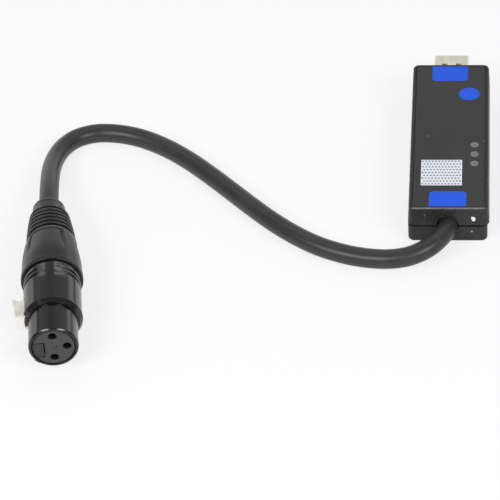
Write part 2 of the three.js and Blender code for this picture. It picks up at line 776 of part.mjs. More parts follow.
// The lead's jacket, all along its route

piece('connection_cable', tube(route, cable.radius, cable.sides, cable.steps), jacketRubber);

// Core wires from the jacket to the board

const core = { radius: 0.65, spread: 1.5, sides: 6, steps: 9, landing: 1.4, padPitch: 3.4 };
const coreAngles = [210, 90, 330];

coreAngles.forEach((degrees, i) => {
  const angle = THREE.MathUtils.degToRad(degrees);
  const start = [core.spread * Math.cos(angle), jacketStartY + fitGap,
    housing.parting + core.spread * Math.sin(angle)];
  const level = boardTop + core.radius + fitGap;
  const padX = (i - 1) * core.padPitch;
  const run = boardStart - jacketStartY;
  const points = [
    start,
    [start[0], start[1] + run / 3, start[2]],
    [padX, boardStart - core.radius, level + core.radius],
    [padX, boardStart + core.landing / 2, level],
    [padX, boardStart + core.landing, level],
  ];
  piece(`lead_wire_${i + 1}`, tube(points, core.radius, core.sides, core.steps), wireColors[i]);
});

// Connector shell: barrel, collar, body and a plain spigot that the nut screws over

function latchOpenings() {
  const noseHalf = latch.noseWidth / 2 + fitGap;
  const nose = block([-shell.bodyRadius - overrun, latch.noseStation - fitGap - slideGap, -noseHalf],
    [latch.armX, latch.noseStation + latch.noseLength + fitGap + latchSlack / 2, noseHalf]);
  const tabHalf = latch.tabWidth / 2 + fitGap;
  const tab = block([-shell.collarRadius - overrun, latch.tabStart - fitGap, -tabHalf],
    [latch.tabFootX + shell.bore - insertRadius + overrun, latch.tabEnd + latchSlack, tabHalf]);
  return [nose, tab];
}

function connectorShell() {
  const collarEdge = shell.collarRadius - shell.bodyRadius;
  const profile = [
    [shell.bore, 0], [shell.barrelRadius - shell.rimChamfer, 0], [shell.barrelRadius, shell.rimChamfer],
    [shell.barrelRadius, collarFront], [shell.collarRadius - shell.collarSlope, collarFront],
    [shell.collarRadius, collarFront + shell.collarSlope], [shell.collarRadius, collarRear - collarEdge],
    [shell.bodyRadius, collarRear], [shell.bodyRadius, bodyEnd], [spigotRadius, bodyEnd],
    [spigotRadius, spigotEnd], [shell.bore, spigotEnd],
  ];
  const grooves = [0, 1].map((i) => {
    const end = bodyEnd - shell.grooveInset - i * shell.groovePitch;
    const floor = shell.bodyRadius - shell.grooveDepth;
    const outside = shell.bodyRadius + overrun;
    return turned([[floor, end - shell.grooveWidth], [outside, end - shell.grooveWidth], [outside, end],
      [floor, end]]);
  });
  const flat = block([-shell.grooveFlat / 2, collarRear, -shell.bodyRadius - 2 * overrun],
    [shell.grooveFlat / 2, bodyEnd, shell.bodyRadius + 2 * overrun]);
  const rings = grooves.map((groove) => groove.subtract(flat));
  const middle = (shell.bore + shell.barrelRadius) / 2;
  const key = block([-shell.keyWidth / 2, 0, middle],
    [shell.keyWidth / 2, shell.keyLength, shell.barrelRadius + shell.keyRise]).rotate([0, shell.keyTurn, 0]);
  return cut(turned(profile).add(key), [...rings, ...latchOpenings()]);
}

piece('connector_shell', connectorShell(), blackMetal, connector);

// Contact insert: three holes in the face, a keyway pocket and the channel that the latch works in

const contactSpots = contactAngles.map((degrees) => {
  const angle = THREE.MathUtils.degToRad(degrees);
  return [insert.circle * Math.cos(angle), insert.circle * Math.sin(angle)];
});

function contactInsert() {
  const body = turnedBar(insertRadius, insert.face, insertEnd, roundSteps);
  const mouths = contactSpots.map(([x, z]) => bar(insert.holeRadius, insert.holeDepth + 2 * overrun, 'y', x,
    insert.face - overrun, z));
  const bores = contactSpots.map(([x, z]) => bar(insert.boreRadius, insert.length, 'y', x,
    insert.face + insert.holeDepth, z));
  const key = block([-insertRadius + slideGap, insert.face - overrun, -insert.keyBottom],
    [-insertRadius + insert.keyReach, insert.face + insert.keyDepth, insert.keyTop]);
  const armHalf = latch.armWidth / 2 + fitGap;
  const arm = block([-shell.bore, latch.pivotStation - latch.tailReach - fitGap, -armHalf],
    [channelFloorX, latch.tabStart, armHalf]);
  const tabHalf = latch.tabWidth / 2 + fitGap;
  const tab = block([-shell.bore, latch.tabStart - fitGap, -tabHalf],
    [tabChannelX, insertEnd + overrun, tabHalf]);
  const pinHole = bar(latch.pinRadius + slideGap, latch.tabWidth + fitGap, 'z', latch.pivotX,
    latch.pivotStation, -latch.tabWidth / 2 - slideGap);
  const peg = bar(springPeg.radius, springPeg.height + overrun, 'x', tabChannelX - springPeg.height,
    spring.station, 0);
  return cut(body, [...mouths, ...bores, key, arm, tab, pinHole]).add(peg);
}

function turnedBar(radius, start, end, steps) {
  return bar(radius, end - start, 'y', 0, start, 0, steps);
}

piece('contact_insert', contactInsert(), insertPlastic, connector);

// Contact sockets: a turned tube with a solder cup behind the insert

contactSpots.forEach(([x, z], i) => {
  const profile = [
    [socket.bore, socketStart], [socketRadius, socketStart], [socketRadius, insertEnd],
    [socket.cupRadius, insertEnd], [socket.cupRadius, socketEnd], [socket.cupBore, socketEnd],
    [socket.cupBore, socketEnd - socket.cupLength], [0, socketEnd - socket.cupLength],
    [0, socketStart + socket.depth], [socket.bore, socketStart + socket.depth],
  ];
  piece(`contact_socket_${i + 1}`, turned(profile, smallSteps).translate([x, 0, z]), goldPlate, connector);
});

// Latch lever: eye, arm, nose and a folded thumb tab

function latchLever() {
  const plan = (points, low, high) => {
    const shape = new THREE.Shape(points.map(([x, y]) => new THREE.Vector2(x, y)));
    const geometry = new THREE.ExtrudeGeometry(shape, { depth: high - low, bevelEnabled: false });
    return solid(geometry.translate(0, 0, low));
  };
  const armHalf = latch.armWidth / 2;
  const armInner = latch.armX + latch.armThickness;
  const tail = latch.pivotStation - latch.tailReach;
  const eye = bar(latch.eyeRadius, latch.armWidth, 'z', latch.pivotX, latch.pivotStation, -armHalf);
  const toe = block([latch.armX, tail, -armHalf],
    [latch.pivotX + latch.eyeRadius, latch.pivotStation, armHalf]);
  const arm = block([latch.armX, latch.pivotStation, -armHalf],
    [armInner, latch.tabStart + latch.tabSheet, armHalf]);
  const noseTop = -shell.barrelRadius - latch.noseRise;
  const nose = plan([
    [armInner, latch.noseStation], [latch.armX, latch.noseStation],
    [noseTop, latch.noseStation + latch.noseLength / 3],
    [noseTop, latch.noseStation + latch.noseLength], [armInner, latch.noseStation + latch.noseLength],
  ], -latch.noseWidth / 2, latch.noseWidth / 2);
  const tabHalf = latch.tabWidth / 2;
  const rearEdge = latch.tabEnd + latch.lipReach;
  const outside = plan([
    [latch.tabFootX, latch.tabStart], [latch.tabFrontX, latch.tabStart],
    [latch.tabRearX, rearEdge], [latch.tabRearX + latch.lipHeight, rearEdge],
    [latch.tabRearX + 2 * latch.lipHeight, latch.tabEnd], [latch.tabFootX, latch.tabEnd],
  ], -tabHalf, tabHalf);
  const inside = plan([
    [latch.tabFootX + overrun, latch.tabStart + latch.tabSheet],
    [latch.tabFrontX + latch.tabSheet, latch.tabStart + latch.tabSheet],
    [latch.tabRearX + 2 * latch.tabSheet, latch.tabEnd + overrun],
    [latch.tabFootX + overrun, latch.tabEnd + overrun],
  ], -tabHalf + latch.tabSheet, tabHalf - latch.tabSheet);
  const web = block([latch.tabFootX - latch.tabSheet, latch.tabStart, -armHalf],
    [armInner, latch.tabStart + latch.tabSheet, armHalf]);
  const pinHole = bar(latch.pinRadius + slideGap, latch.armWidth + 2 * overrun, 'z', latch.pivotX,
    latch.pivotStation, -armHalf - overrun);
  return union([eye, toe, arm, nose, outside.subtract(inside), web]).subtract(pinHole);
}

piece('latch_lever', latchLever(), latchMetal, connector);
const pinLength = latch.tabWidth;
piece('latch_pin', bar(latch.pinRadius, pinLength, 'z', latch.pivotX, latch.pivotStation, -pinLength / 2),
  springSteel, connector);

// Latch spring: a coil between the insert's channel and the underside of the tab

function latchSpring() {
  const tabShare = (spring.station - latch.tabStart) / (latch.tabEnd + latch.lipReach - latch.tabStart);
  const tabX = latch.tabFrontX + tabShare * (latch.tabRearX - latch.tabFrontX) + latch.tabSheet;
  const start = tabChannelX - fitGap - spring.wire;
  const end = tabX + 2 * fitGap + 2 * spring.wire;
  const count = spring.turns * spring.stepsPerTurn;
  const points = Array.from({ length: count + 1 }, (_, i) => {
    const angle = 2 * Math.PI * i / spring.stepsPerTurn;
    const x = start + (end - start) * i / count;
    return [x, spring.station + (spring.radius - spring.wire) * Math.cos(angle),
      (spring.radius - spring.wire) * Math.sin(angle)];
  });
  return tube(points, spring.wire, spring.sides, count);
}

piece('latch_spring', latchSpring(), springSteel, connector);

// Chuck: a slit collet that the nut's cone closes on the jacket

function cableChuck() {
  const profile = [
    [cableBore, chuck.start], [chuck.radius, chuck.start], [chuck.radius, coneStart],
    [chuck.noseRadius, chuckEnd], [cableBore, chuckEnd],
  ];
  const half = chuck.slit / 2;
  const slitStart = chuck.start + (chuckEnd - chuck.start) / chuck.teeth;
  const upright = block([-half, slitStart, -chuck.radius - overrun],
    [half, chuckEnd + overrun, chuck.radius + overrun]);
  const level = block([-chuck.radius - overrun, slitStart, -half],
    [chuck.radius + overrun, chuckEnd + overrun, half]);
  return cut(turned(profile), [upright, level]);
}

piece('cable_chuck', cableChuck(), whitePlastic, connector);

// Boot nut: a swelling sleeve with shallow grip panels sunk in its thinner half

function nutRadiusAt(share) {
  return nut.rearRadius + (nut.waist - nut.rearRadius) * (1 - share ** nut.swell);
}

function gripPanels() {
  const endShare = 1 - grip.rim / nut.length;
  const shares = [grip.startShare, grip.fullShare, (grip.fullShare + endShare) / 2, endShare];
  const outside = nut.radius + overrun;
  const profile = shares.map((share, i) => {
    const depth = i === 0 ? -grip.depth / 4 : grip.depth;
    return [nutRadiusAt(share) - depth, nutFront + share * nut.length];
  });
  profile.push([outside, profile.at(-1)[1]], [outside, profile[0][1]]);
  const ring = turned(profile);
  const sector = block([-grip.width / 2, nutFront, 0], [grip.width / 2, nutRear, outside]);
  return Array.from({ length: grip.count }, (_, i) => {
    const turn = grip.turn + i * 360 / grip.count;
    return ring.intersect(sector.rotate([0, turn, 0]));
  });
}

function bootNut() {
  const ringEnd = nutFront + nut.ringWidth;
  const profile = [[nutBore, nutFront], [nut.radius, nutFront], [nut.radius, ringEnd]];
  const firstShare = (nut.ringWidth + nut.radius - nut.waist) / nut.length;
  for (let i = 0; i <= nut.rings; i += 1) {
    const share = firstShare + (1 - firstShare) * i / nut.rings;
    profile.push([nutRadiusAt(share), nutFront + nut.length * share]);
  }
  profile.push([nut.bore, nutRear], [nut.bore, coneEnd], [nutBore, coneStart]);
  return cut(turned(profile), gripPanels());
}

piece('boot_nut', bootNut(), blackPlastic, connector);

// Bend relief: a neck inside the nut, ribs, a sloping shoulder and a short sleeve.
// It leans a little to the side where the lead leaves it

function ribRadiusAt(station) {
  const share = Math.max((station - ribStart) / (ribEnd - ribStart), 0);
  return relief.radius + (relief.endRadius - relief.radius) * share ** relief.taper;
}

function bendRelief() {
  const profile = [
    [cableBore, reliefFront - relief.neckLength], [neckRadius, reliefFront - relief.neckLength],
    [neckRadius, reliefFront], [relief.flangeRadius, reliefFront], [relief.flangeRadius, ribStart],
  ];
  for (let i = 0; i < relief.ribs; i += 1) {
    const start = ribStart + i * relief.ribPitch;
    const end = start + relief.ribWidth;
    const next = start + relief.ribPitch;
    const floor = ribRadiusAt(end) - relief.grooveDepth;
    profile.push([ribRadiusAt(start), start], [ribRadiusAt(end), end], [floor, end], [floor, next]);
  }
  const sleeveEnd = reliefEnd - relief.endRound;
  profile.push([relief.endRadius, ribEnd], [relief.shoulderRadius, shoulderEnd]);
  for (let i = 0; i <= relief.roundSteps; i += 1) {
    const angle = Math.PI / 2 * i / relief.roundSteps;
    const inwards = relief.endRound * (1 - Math.cos(angle));
    profile.push([relief.sleeveRadius - inwards, sleeveEnd + relief.endRound * Math.sin(angle)]);
  }
  profile.push([cableBore, reliefEnd]);
  return turned(profile).warp((point) => {
    const lean = relief.leanSlope * Math.max(point[1] - relief.leanStart, 0);
    point[0] -= lean;
  });
}

piece('bend_relief', bendRelief(), softBlack, connector);

// Core wires from the jacket's end to the solder cups

coreAngles.forEach((degrees, i) => {
  const angle = THREE.MathUtils.degToRad(degrees);
  const [x, z] = contactSpots[[2, 0, 1][i]];
  const start = [core.spread * Math.cos(angle), jacketEndStation - fitGap, core.spread * Math.sin(angle)];
  const end = socketEnd + fitGap;
  const bend = (start[1] - end) / 4;
  const points = [start, [start[0], start[1] - bend, start[2]], [x, end + bend, z], [x, end, z]];
  piece(`contact_wire_${i + 1}`, tube(points, core.radius, core.sides, core.steps), wireColors[i], connector);
});

export default group;
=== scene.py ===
import json
import math

import bmesh
import bpy
from mathutils import Matrix, Vector


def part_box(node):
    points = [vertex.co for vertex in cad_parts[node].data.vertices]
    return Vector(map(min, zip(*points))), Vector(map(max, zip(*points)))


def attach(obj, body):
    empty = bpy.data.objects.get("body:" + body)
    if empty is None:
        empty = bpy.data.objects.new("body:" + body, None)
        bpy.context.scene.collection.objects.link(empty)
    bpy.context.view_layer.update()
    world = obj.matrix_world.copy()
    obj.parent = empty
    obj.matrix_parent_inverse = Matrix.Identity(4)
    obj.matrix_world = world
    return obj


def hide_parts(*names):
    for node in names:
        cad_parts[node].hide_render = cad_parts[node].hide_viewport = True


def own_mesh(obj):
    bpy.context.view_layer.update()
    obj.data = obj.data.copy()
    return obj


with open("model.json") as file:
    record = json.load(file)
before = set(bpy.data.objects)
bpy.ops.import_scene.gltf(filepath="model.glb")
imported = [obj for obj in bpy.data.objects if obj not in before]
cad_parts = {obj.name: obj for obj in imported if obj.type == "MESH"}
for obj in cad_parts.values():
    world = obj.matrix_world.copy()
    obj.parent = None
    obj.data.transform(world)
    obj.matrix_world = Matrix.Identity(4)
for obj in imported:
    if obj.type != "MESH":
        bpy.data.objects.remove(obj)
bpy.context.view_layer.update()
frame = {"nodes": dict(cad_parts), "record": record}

MM = 0.001
scene = bpy.context.scene
scene.view_settings.view_transform = "Standard"

# Camera, fitted to the photograph

FRAME_PX = 500
SENSOR = 36
LENS_PX = 3030.14
CAMERA_TURN = math.radians(5.969)
CAMERA_RISE = math.radians(39.705)
CAMERA_ROLL = math.radians(-3.703)
CAMERA_REACH = 1.00102
CAMERA_AIM = Vector((-0.065464, -0.049822, 0))
NEAR_CLIP = 0.05
FAR_CLIP = 20


def make_camera():
    data = bpy.data.cameras.new("camera")
    data.sensor_width = SENSOR
    data.lens = LENS_PX / FRAME_PX * SENSOR
    data.clip_start = NEAR_CLIP
    data.clip_end = FAR_CLIP
    camera = bpy.data.objects.new("camera", data)
    scene.collection.objects.link(camera)
    turn = Matrix.Rotation(CAMERA_TURN, 4, "Z") @ Matrix.Rotation(math.pi / 2 - CAMERA_RISE, 4, "X")
    turn = turn @ Matrix.Rotation(CAMERA_ROLL, 4, "Z")
    camera.matrix_world = Matrix.Translation(CAMERA_AIM) @ turn @ Matrix.Translation((0, 0, CAMERA_REACH))
    scene.camera = camera


make_camera()

# Materials: each has a noise that moves its colour and its roughness a little, and a fine grain in its bump

materials = {}
CLOUD_RANGE = (0.3, 0.7)
SPARKLE_RANGE = (0.62, 0.7)
SPOT_WOBBLE = 0.25
SPOT_CORE = 0.85
SPOT_RIM = 1.05


class Surface:
    """A node material that is built up step by step and is listed under its slot."""

    def __init__(self, name, colour, roughness, metallic=0.0, specular=0.5):
        self.material = bpy.data.materials.new(name)
        self.material.use_nodes = True
        materials[name] = self.material
        self.tree = self.material.node_tree
        self.shader = self.tree.nodes["Principled BSDF"]
        self.colour = colour
        self.roughness = roughness
        self.shader.inputs["Base Color"].default_value = (*colour, 1)
        self.shader.inputs["Roughness"].default_value = roughness
        self.shader.inputs["Metallic"].default_value = metallic
        self.shader.inputs["Specular IOR Level"].default_value = specular
        self.place = self.node("ShaderNodeTexCoord").outputs["Object"]
        self.bump = None

    def node(self, kind, **values):
        made = self.tree.nodes.new(kind)
        for key, value in values.items():
            setattr(made, key, value)
        return made

    def link(self, start, end):
        self.tree.links.new(start, end)

    def maths(self, operation, *values):
        """A sum on sockets and plain numbers."""
        made = self.node("ShaderNodeMath", operation=operation)
        for port, value in zip(made.inputs, values):
            if isinstance(value, bpy.types.NodeSocket):
                self.link(value, port)
            else:
                port.default_value = value
        return made.outputs["Value"]

    def noise(self, size, detail=3, stretch=(1, 1, 1)):
        mapping = self.node("ShaderNodeMapping")
        mapping.inputs["Scale"].default_value = stretch
        self.link(self.place, mapping.inputs["Vector"])
        texture = self.node("ShaderNodeTexNoise")
        texture.inputs["Scale"].default_value = 1 / size
        texture.inputs["Detail"].default_value = detail
        self.link(mapping.outputs["Vector"], texture.inputs["Vector"])
        return texture.outputs["Fac"]

    def ramp(self, source, low, high, start=0.0, end=1.0):
        made = self.node("ShaderNodeMapRange")
        made.inputs["From Min"].default_value = start
        made.inputs["From Max"].default_value = end
        made.inputs["To Min"].default_value = low
        made.inputs["To Max"].default_value = high
        self.link(source, made.inputs["Value"])
        return made.outputs["Result"]

    def mottled(self, size, spread, rough_spread, stretch=(1, 1, 1)):
        """Moves the colour and the roughness up and down by shares of themselves."""
        cloud = self.noise(size, detail=4, stretch=stretch)
        mix = self.node("ShaderNodeMix", data_type="RGBA")
        dark = [c * (1 - spread) for c in self.colour]
        pale = [min(1, c * (1 + spread)) for c in self.colour]
        mix.inputs["A"].default_value = (*dark, 1)
        mix.inputs["B"].default_value = (*pale, 1)
        self.link(self.ramp(cloud, 0, 1, *CLOUD_RANGE), mix.inputs["Factor"])
        self.link(mix.outputs["Result"], self.shader.inputs["Base Color"])
        low = self.roughness * (1 - rough_spread)
        high = self.roughness * (1 + rough_spread)
        self.link(self.ramp(cloud, low, high, *CLOUD_RANGE), self.shader.inputs["Roughness"])
        return self

    def grained(self, size, depth, stretch=(1, 1, 1)):
        """Adds a fine relief of that grain size and depth, in metres."""
        bump = self.node("ShaderNodeBump")
        bump.inputs["Distance"].default_value = depth
        self.link(self.noise(size, 2, stretch), bump.inputs["Height"])
        if self.bump:
            self.link(self.bump, bump.inputs["Normal"])
        self.bump = bump.outputs["Normal"]
        self.link(self.bump, self.shader.inputs["Normal"])
        return self

    def marked(self, mask, colour, roughness):
        """Lays another colour and roughness over the surface where the mask is 1."""
        for name, kind, over in (("Base Color", "RGBA", (*colour, 1)), ("Roughness", "FLOAT", roughness)):
            socket = self.shader.inputs[name]
            mix = self.node("ShaderNodeMix", data_type=kind)
            if socket.links:
                self.link(socket.links[0].from_socket, mix.inputs["A"])
            else:
                mix.inputs["A"].default_value = socket.default_value
            mix.inputs["B"].default_value = over
            self.link(mask, mix.inputs["Factor"])
            self.link(mix.outputs["Result"], socket)
        return self

    def sparkled(self, size, share, colour):
        """Scatters fine paler grains over the surface."""
        grains = self.noise(size, detail=0)
        return self.marked(self.ramp(grains, 0, share, *SPARKLE_RANGE), colour, self.roughness)

    def spots(self, places):
        """A mask that is 1 in any of the balls (centre, radius in millimetres), with a ragged rim."""
        ragged = self.ramp(self.noise(0.5 * MM), -SPOT_WOBBLE, SPOT_WOBBLE)
        mask = None
        for centre, size in places:
            radius = size * MM
            away = self.node("ShaderNodeVectorMath", operation="DISTANCE")
            away.inputs[1].default_value = [c * MM for c in centre]
            self.link(self.place, away.inputs[0])
            shifted = self.maths("MULTIPLY_ADD", ragged, radius, away.outputs["Value"])
            inside = self.ramp(shifted, 1, 0, radius * SPOT_CORE, radius * SPOT_RIM)
            mask = self.maths("MAXIMUM", mask, inside) if mask else inside
        return mask

    def edge_band(self, centre, half, start, end):
        """A mask that is 1 in a band that far inside the border of a flat rectangle."""
        parts = self.node("ShaderNodeSeparateXYZ")
        self.link(self.place, parts.inputs["Vector"])
        depths = []
        for axis, middle, reach in zip("XY", centre, half):
            away = self.maths("ABSOLUTE", self.maths("SUBTRACT", parts.outputs[axis], middle))
            depths.append(self.maths("SUBTRACT", reach, away))
        depth = self.maths("MINIMUM", *depths)
        fade = (end - start) / 3
        rise = self.ramp(depth, 0, 1, start - fade, start)
        fall = self.ramp(depth, 1, 0, end, end + fade)
        return self.maths("MINIMUM", rise, fall)

    def station(self, direction):
        """How far a point lies along a direction."""
        product = self.node("ShaderNodeVectorMath", operation="DOT_PRODUCT")
        product.inputs[1].default_value = direction
        self.link(self.place, product.inputs[0])
        return product.outputs["Value"]

    def rise(self, direction, start, full):
        """A mask that rises from 0 to 1 between two stations along a direction."""
        return self.ramp(self.station(direction), 0, 1, start, full)

    def band(self, direction, start, full, fade, end):
        """A mask that rises and falls again at those stations along a direction."""
        station = self.station(direction)
        fall = self.ramp(station, 1, 0, fade, end)
        return self.maths("MINIMUM", self.ramp(station, 0, 1, start, full), fall)


def grey(level):
    return (level, level, level)


# Marks on the housing, each a centre and a radius in millimetres: a scratch, specks, and painted highlights
# on the front faces and a front corner

# Painted highlights: a near-white spot on the cover's front face, then two paler spots on the front faces and
# one speck on the top edge
SPOT_HIGHLIGHTS = [((8.1, -45.5, 9.95), 0.7), ((8.2, -45.5, 9.3), 0.52), ((7.7, -45.5, 10.45), 0.3)]
SMALL_HIGHLIGHTS_AND_SPECK = [((7.6, -45.4, 4.4), 0.36), ((-7.9, -45.5, 11.35), 0.2), ((-13.1, -31.4, 14.0), 0.3)]
SCRATCH_LINE = [(-7.95, 10.3), (-7.93, 9.8), (-7.97, 9.3), (-8.02, 8.8), (-8.1, 8.35), (-8.25, 7.9),
                (-8.45, 7.5), (-8.7, 7.15)]
SCRATCH = [((x, -45.5, z), 0.16) for x, z in SCRATCH_LINE]
# Painted highlight down the cover's rounded front-left corner
CORNER_HIGHLIGHT = [((-12.9, -44.9, 8.2 + 0.55 * i), 0.3) for i in range(9)]
SPECKS = [((-7.44, -6.82, 14.3), 0.3), ((-11.74, 4.01, 14.3), 0.28), ((11.64, -9.81, 14.3), 0.4),
          ((12.0, -36.5, 14.3), 0.35), ((-12.0, -31.4, 14.3), 0.35)]
FAINT_SPECKS = [((-3.75, 11.5, 14.3), 0.35), ((-5.15, -13.45, 14.3), 0.3), ((9.54, -25.85, 14.3), 0.3),
                ((11.8, -33.5, 14.3), 0.3), ((11.7, -39.2, 14.3), 0.4), ((-11.9, -40.5, 14.3), 0.35)]

# Rubbed places along the cover's long upper edges, and a painted highlight along its upper front edge, in
# metres

FRONT_HIGHLIGHT_LEVELS = (13.9 * MM, 14.02 * MM, 14.32 * MM, 14.4 * MM)
FRONT_HIGHLIGHT_PLANE = 45.1 * MM
SIDE_WEAR_CENTRE = (0, -6 * MM)
SIDE_WEAR_HALF = (13.1 * MM, 39.6 * MM)
SIDE_WEAR_REACH = (-0.2 * MM, 0.35 * MM)
SIDE_WEAR_LEVELS = (13.75 * MM, 13.9 * MM)


def front_edge_highlight(surface):
    """A mask along the cover's upper front edge, where a painted highlight lies in patches."""
    level = surface.band((0, 0, 1), *FRONT_HIGHLIGHT_LEVELS)
    front = surface.rise((0, -1, 0), FRONT_HIGHLIGHT_PLANE, FRONT_HIGHLIGHT_PLANE + 0.1 * MM)
    patches = surface.ramp(surface.noise(2.2 * MM, 2), 0.45, 1, 0.35, 0.6)
    return surface.maths("MULTIPLY", surface.maths("MINIMUM", level, front), patches)


def side_edge_wear(surface):
    """A mask of short rubbed places along the cover's long upper edges."""
    border = surface.edge_band(SIDE_WEAR_CENTRE, SIDE_WEAR_HALF, *SIDE_WEAR_REACH)
    level = surface.rise((0, 0, 1), *SIDE_WEAR_LEVELS)
    patches = surface.ramp(surface.noise(1.3 * MM, 2, stretch=(1, 0.45, 1)), 0, 1, 0.6, 0.68)
    return surface.maths("MULTIPLY", surface.maths("MINIMUM", border, level), patches)


plastic = Surface("black_plastic", (0.016, 0.016, 0.0165), 0.42, specular=0.35)
plastic.mottled(9 * MM, 0.16, 0.12).sparkled(0.3 * MM, 0.8, (0.05, 0.05, 0.052))
plastic.marked(side_edge_wear(plastic), grey(0.13), 0.45)
# Painted highlight along the cover's upper front edge
plastic.marked(front_edge_highlight(plastic), grey(0.17), 0.45)
plastic.marked(plastic.spots(SCRATCH), grey(0.07), 0.5)
# Painted highlight along the cover's front-left corner
plastic.marked(plastic.spots(CORNER_HIGHLIGHT), grey(0.07), 0.45)
# Painted highlights on two pale spots of the front faces, and a speck on the top edge
plastic.marked(plastic.spots(SMALL_HIGHLIGHTS_AND_SPECK), (0.3, 0.3, 0.31), 0.5)
# Painted highlight: a near-white spot on the cover's front face
plastic.marked(plastic.spots(SPOT_HIGHLIGHTS), grey(0.82), 0.5)
plastic.grained(0.28 * MM, 0.014 * MM).grained(1.6 * MM, 0.01 * MM)

# Film: black, with a painted highlight along its rim and a few specks

FILM_TRIM = 0.35 * MM
FILM_RIM_HIGHLIGHT = (0.1 * MM, 0.35 * MM)

film_low, film_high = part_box("face_panel")
film_middle = (film_low + film_high) / 2
film_half = (film_high - film_low) / 2
film_half.x -= FILM_TRIM
label = Surface("label_film", (0.021, 0.021, 0.0218), 0.34)
label.mottled(14 * MM, 0.1, 0.15)
# Painted highlight: a paler band just inside the film's border
label.marked(label.edge_band(film_middle[:2], film_half[:2], *FILM_RIM_HIGHLIGHT), (0.026, 0.026, 0.027), 0.34)
label.marked(label.spots(SPECKS), grey(0.16), 0.4)
label.marked(label.spots(FAINT_SPECKS), grey(0.04), 0.4)
label.grained(0.16 * MM, 0.006 * MM)

# Plug steel is brushed along the plug; latch steel is painted paler on the tab's folded-down front, as a
# painted highlight

steel = Surface("plated_steel", (0.94, 0.92, 0.78), 0.42, metallic=1.0)
steel.mottled(3 * MM, 0.05, 0.25, stretch=(1, 0.25, 1)).grained(0.12 * MM, 0.0025 * MM, stretch=(1, 0.08, 1))
latch_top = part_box("latch_lever")[1].z
latch = Surface("latch_metal", (0.96, 0.93, 0.85), 0.42, metallic=1.0)
latch.mottled(2 * MM, 0.06, 0.25)
# Painted highlight: the latch is made paler from just below its top downwards
latch.marked(latch.rise((0, 0, -1), -latch_top + 0.5 * MM, -latch_top + 0.9 * MM), (0.985, 0.96, 0.93), 0.42)
latch.grained(0.2 * MM, 0.004 * MM)

rubber = Surface("cable_jacket", (0.031, 0.0295, 0.029), 0.36, specular=0.4)
rubber.mottled(11 * MM, 0.15, 0.12).grained(0.35 * MM, 0.014 * MM).grained(2.8 * MM, 0.02 * MM)

# Connector frame: the middle of its open face, and its axis, along which stations run

CONNECTOR_FACE = Vector((-0.123175, -0.11004, 0.0101))
CONNECTOR_TURN = math.radians(7.25)
CONNECTOR = Matrix.Translation(CONNECTOR_FACE) @ Matrix.Rotation(CONNECTOR_TURN, 4, "Z")
INWARD = Vector((-math.sin(CONNECTOR_TURN), math.cos(CONNECTOR_TURN), 0))
ACROSS = Vector((math.cos(CONNECTOR_TURN), math.sin(CONNECTOR_TURN), 0))
REAR_ROUGH_SHEEN = (24.2, 25.6, 31.2, 31.6)
RIGHT_ROUGH_SHEEN = (1.3, 1.5, 2.5, 6.6)
LEFT_ROUGH_SHEEN = (1.3, 1.5, 2, 4.4)
SUNK_PAINTED_SHADE = (0.25, 0.35)
DEEP_PAINTED_SHADE = (0.55, 0.9)


def from_face(direction, stations):
    """Stations in millimetres from the middle of the connector's face, as stations from the origin."""
    start = CONNECTOR_FACE.dot(direction)
    return [start + station * MM for station in stations]


def rough_rear_sheen(surface):
    """A streaky mask beside the plain strip on top, over the rear of the connector's body, where the finish
    is rougher and painted paler as a sheen.
    """
    rear = surface.band(INWARD, *from_face(INWARD, REAR_ROUGH_SHEEN))
    right = surface.band(ACROSS, *from_face(ACROSS, RIGHT_ROUGH_SHEEN))
    left = surface.band(-ACROSS, *from_face(-ACROSS, LEFT_ROUGH_SHEEN))
    zone = surface.maths("MULTIPLY", rear, surface.maths("MAXIMUM", right, left))
    streaks = surface.ramp(surface.noise(0.9 * MM, 2, stretch=(0.3, 1.2, 0.3)), 0.25, 0.95, 0.4, 0.62)
    return surface.maths("MULTIPLY", zone, streaks)


metal = Surface("black_metal", (0.005, 0.005, 0.0054), 0.16)
# Rougher finish with a painted sheen: paler streaks beside the plain strip at the rear of the body
metal.mottled(4 * MM, 0.12, 0.2).marked(rough_rear_sheen(metal), grey(0.16), 0.4).grained(0.5 * MM, 0.006 * MM)

insert = Surface("insert_plastic", (0.048, 0.046, 0.047), 0.5, specular=0.4)
insert.mottled(2.5 * MM, 0.12, 0.12)
# Painted shade: the insert grows darker behind its face, into its pocket and holes, and nearly black deep
# inside
insert.marked(insert.rise(INWARD, *from_face(INWARD, SUNK_PAINTED_SHADE)), (0.031, 0.03, 0.029), 0.5)
insert.marked(insert.rise(INWARD, *from_face(INWARD, DEEP_PAINTED_SHADE)), grey(0.003), 0.7)
insert.grained(0.2 * MM, 0.012 * MM)


def plain_material(slot, colour, roughness, mottle, grain, **kind):
    """Mottle is (size, colour share, roughness share), grain is (size, depth), with sizes in millimetres."""
    size, spread, rough_spread = mottle
    grain_size, depth = grain
    surface = Surface(slot, colour, roughness, **kind)
    surface.mottled(size * MM, spread, rough_spread).grained(grain_size * MM, depth * MM)


INK_GRAIN = (0.16, 0.005)
SOFT_BLACK = (0.009, 0.009, 0.0093)
WIRE_COLOURS = {"wire_1": (0.45, 0.45, 0.43), "wire_2": (0.35, 0.02, 0.02), "wire_3": (0.02, 0.08, 0.35)}

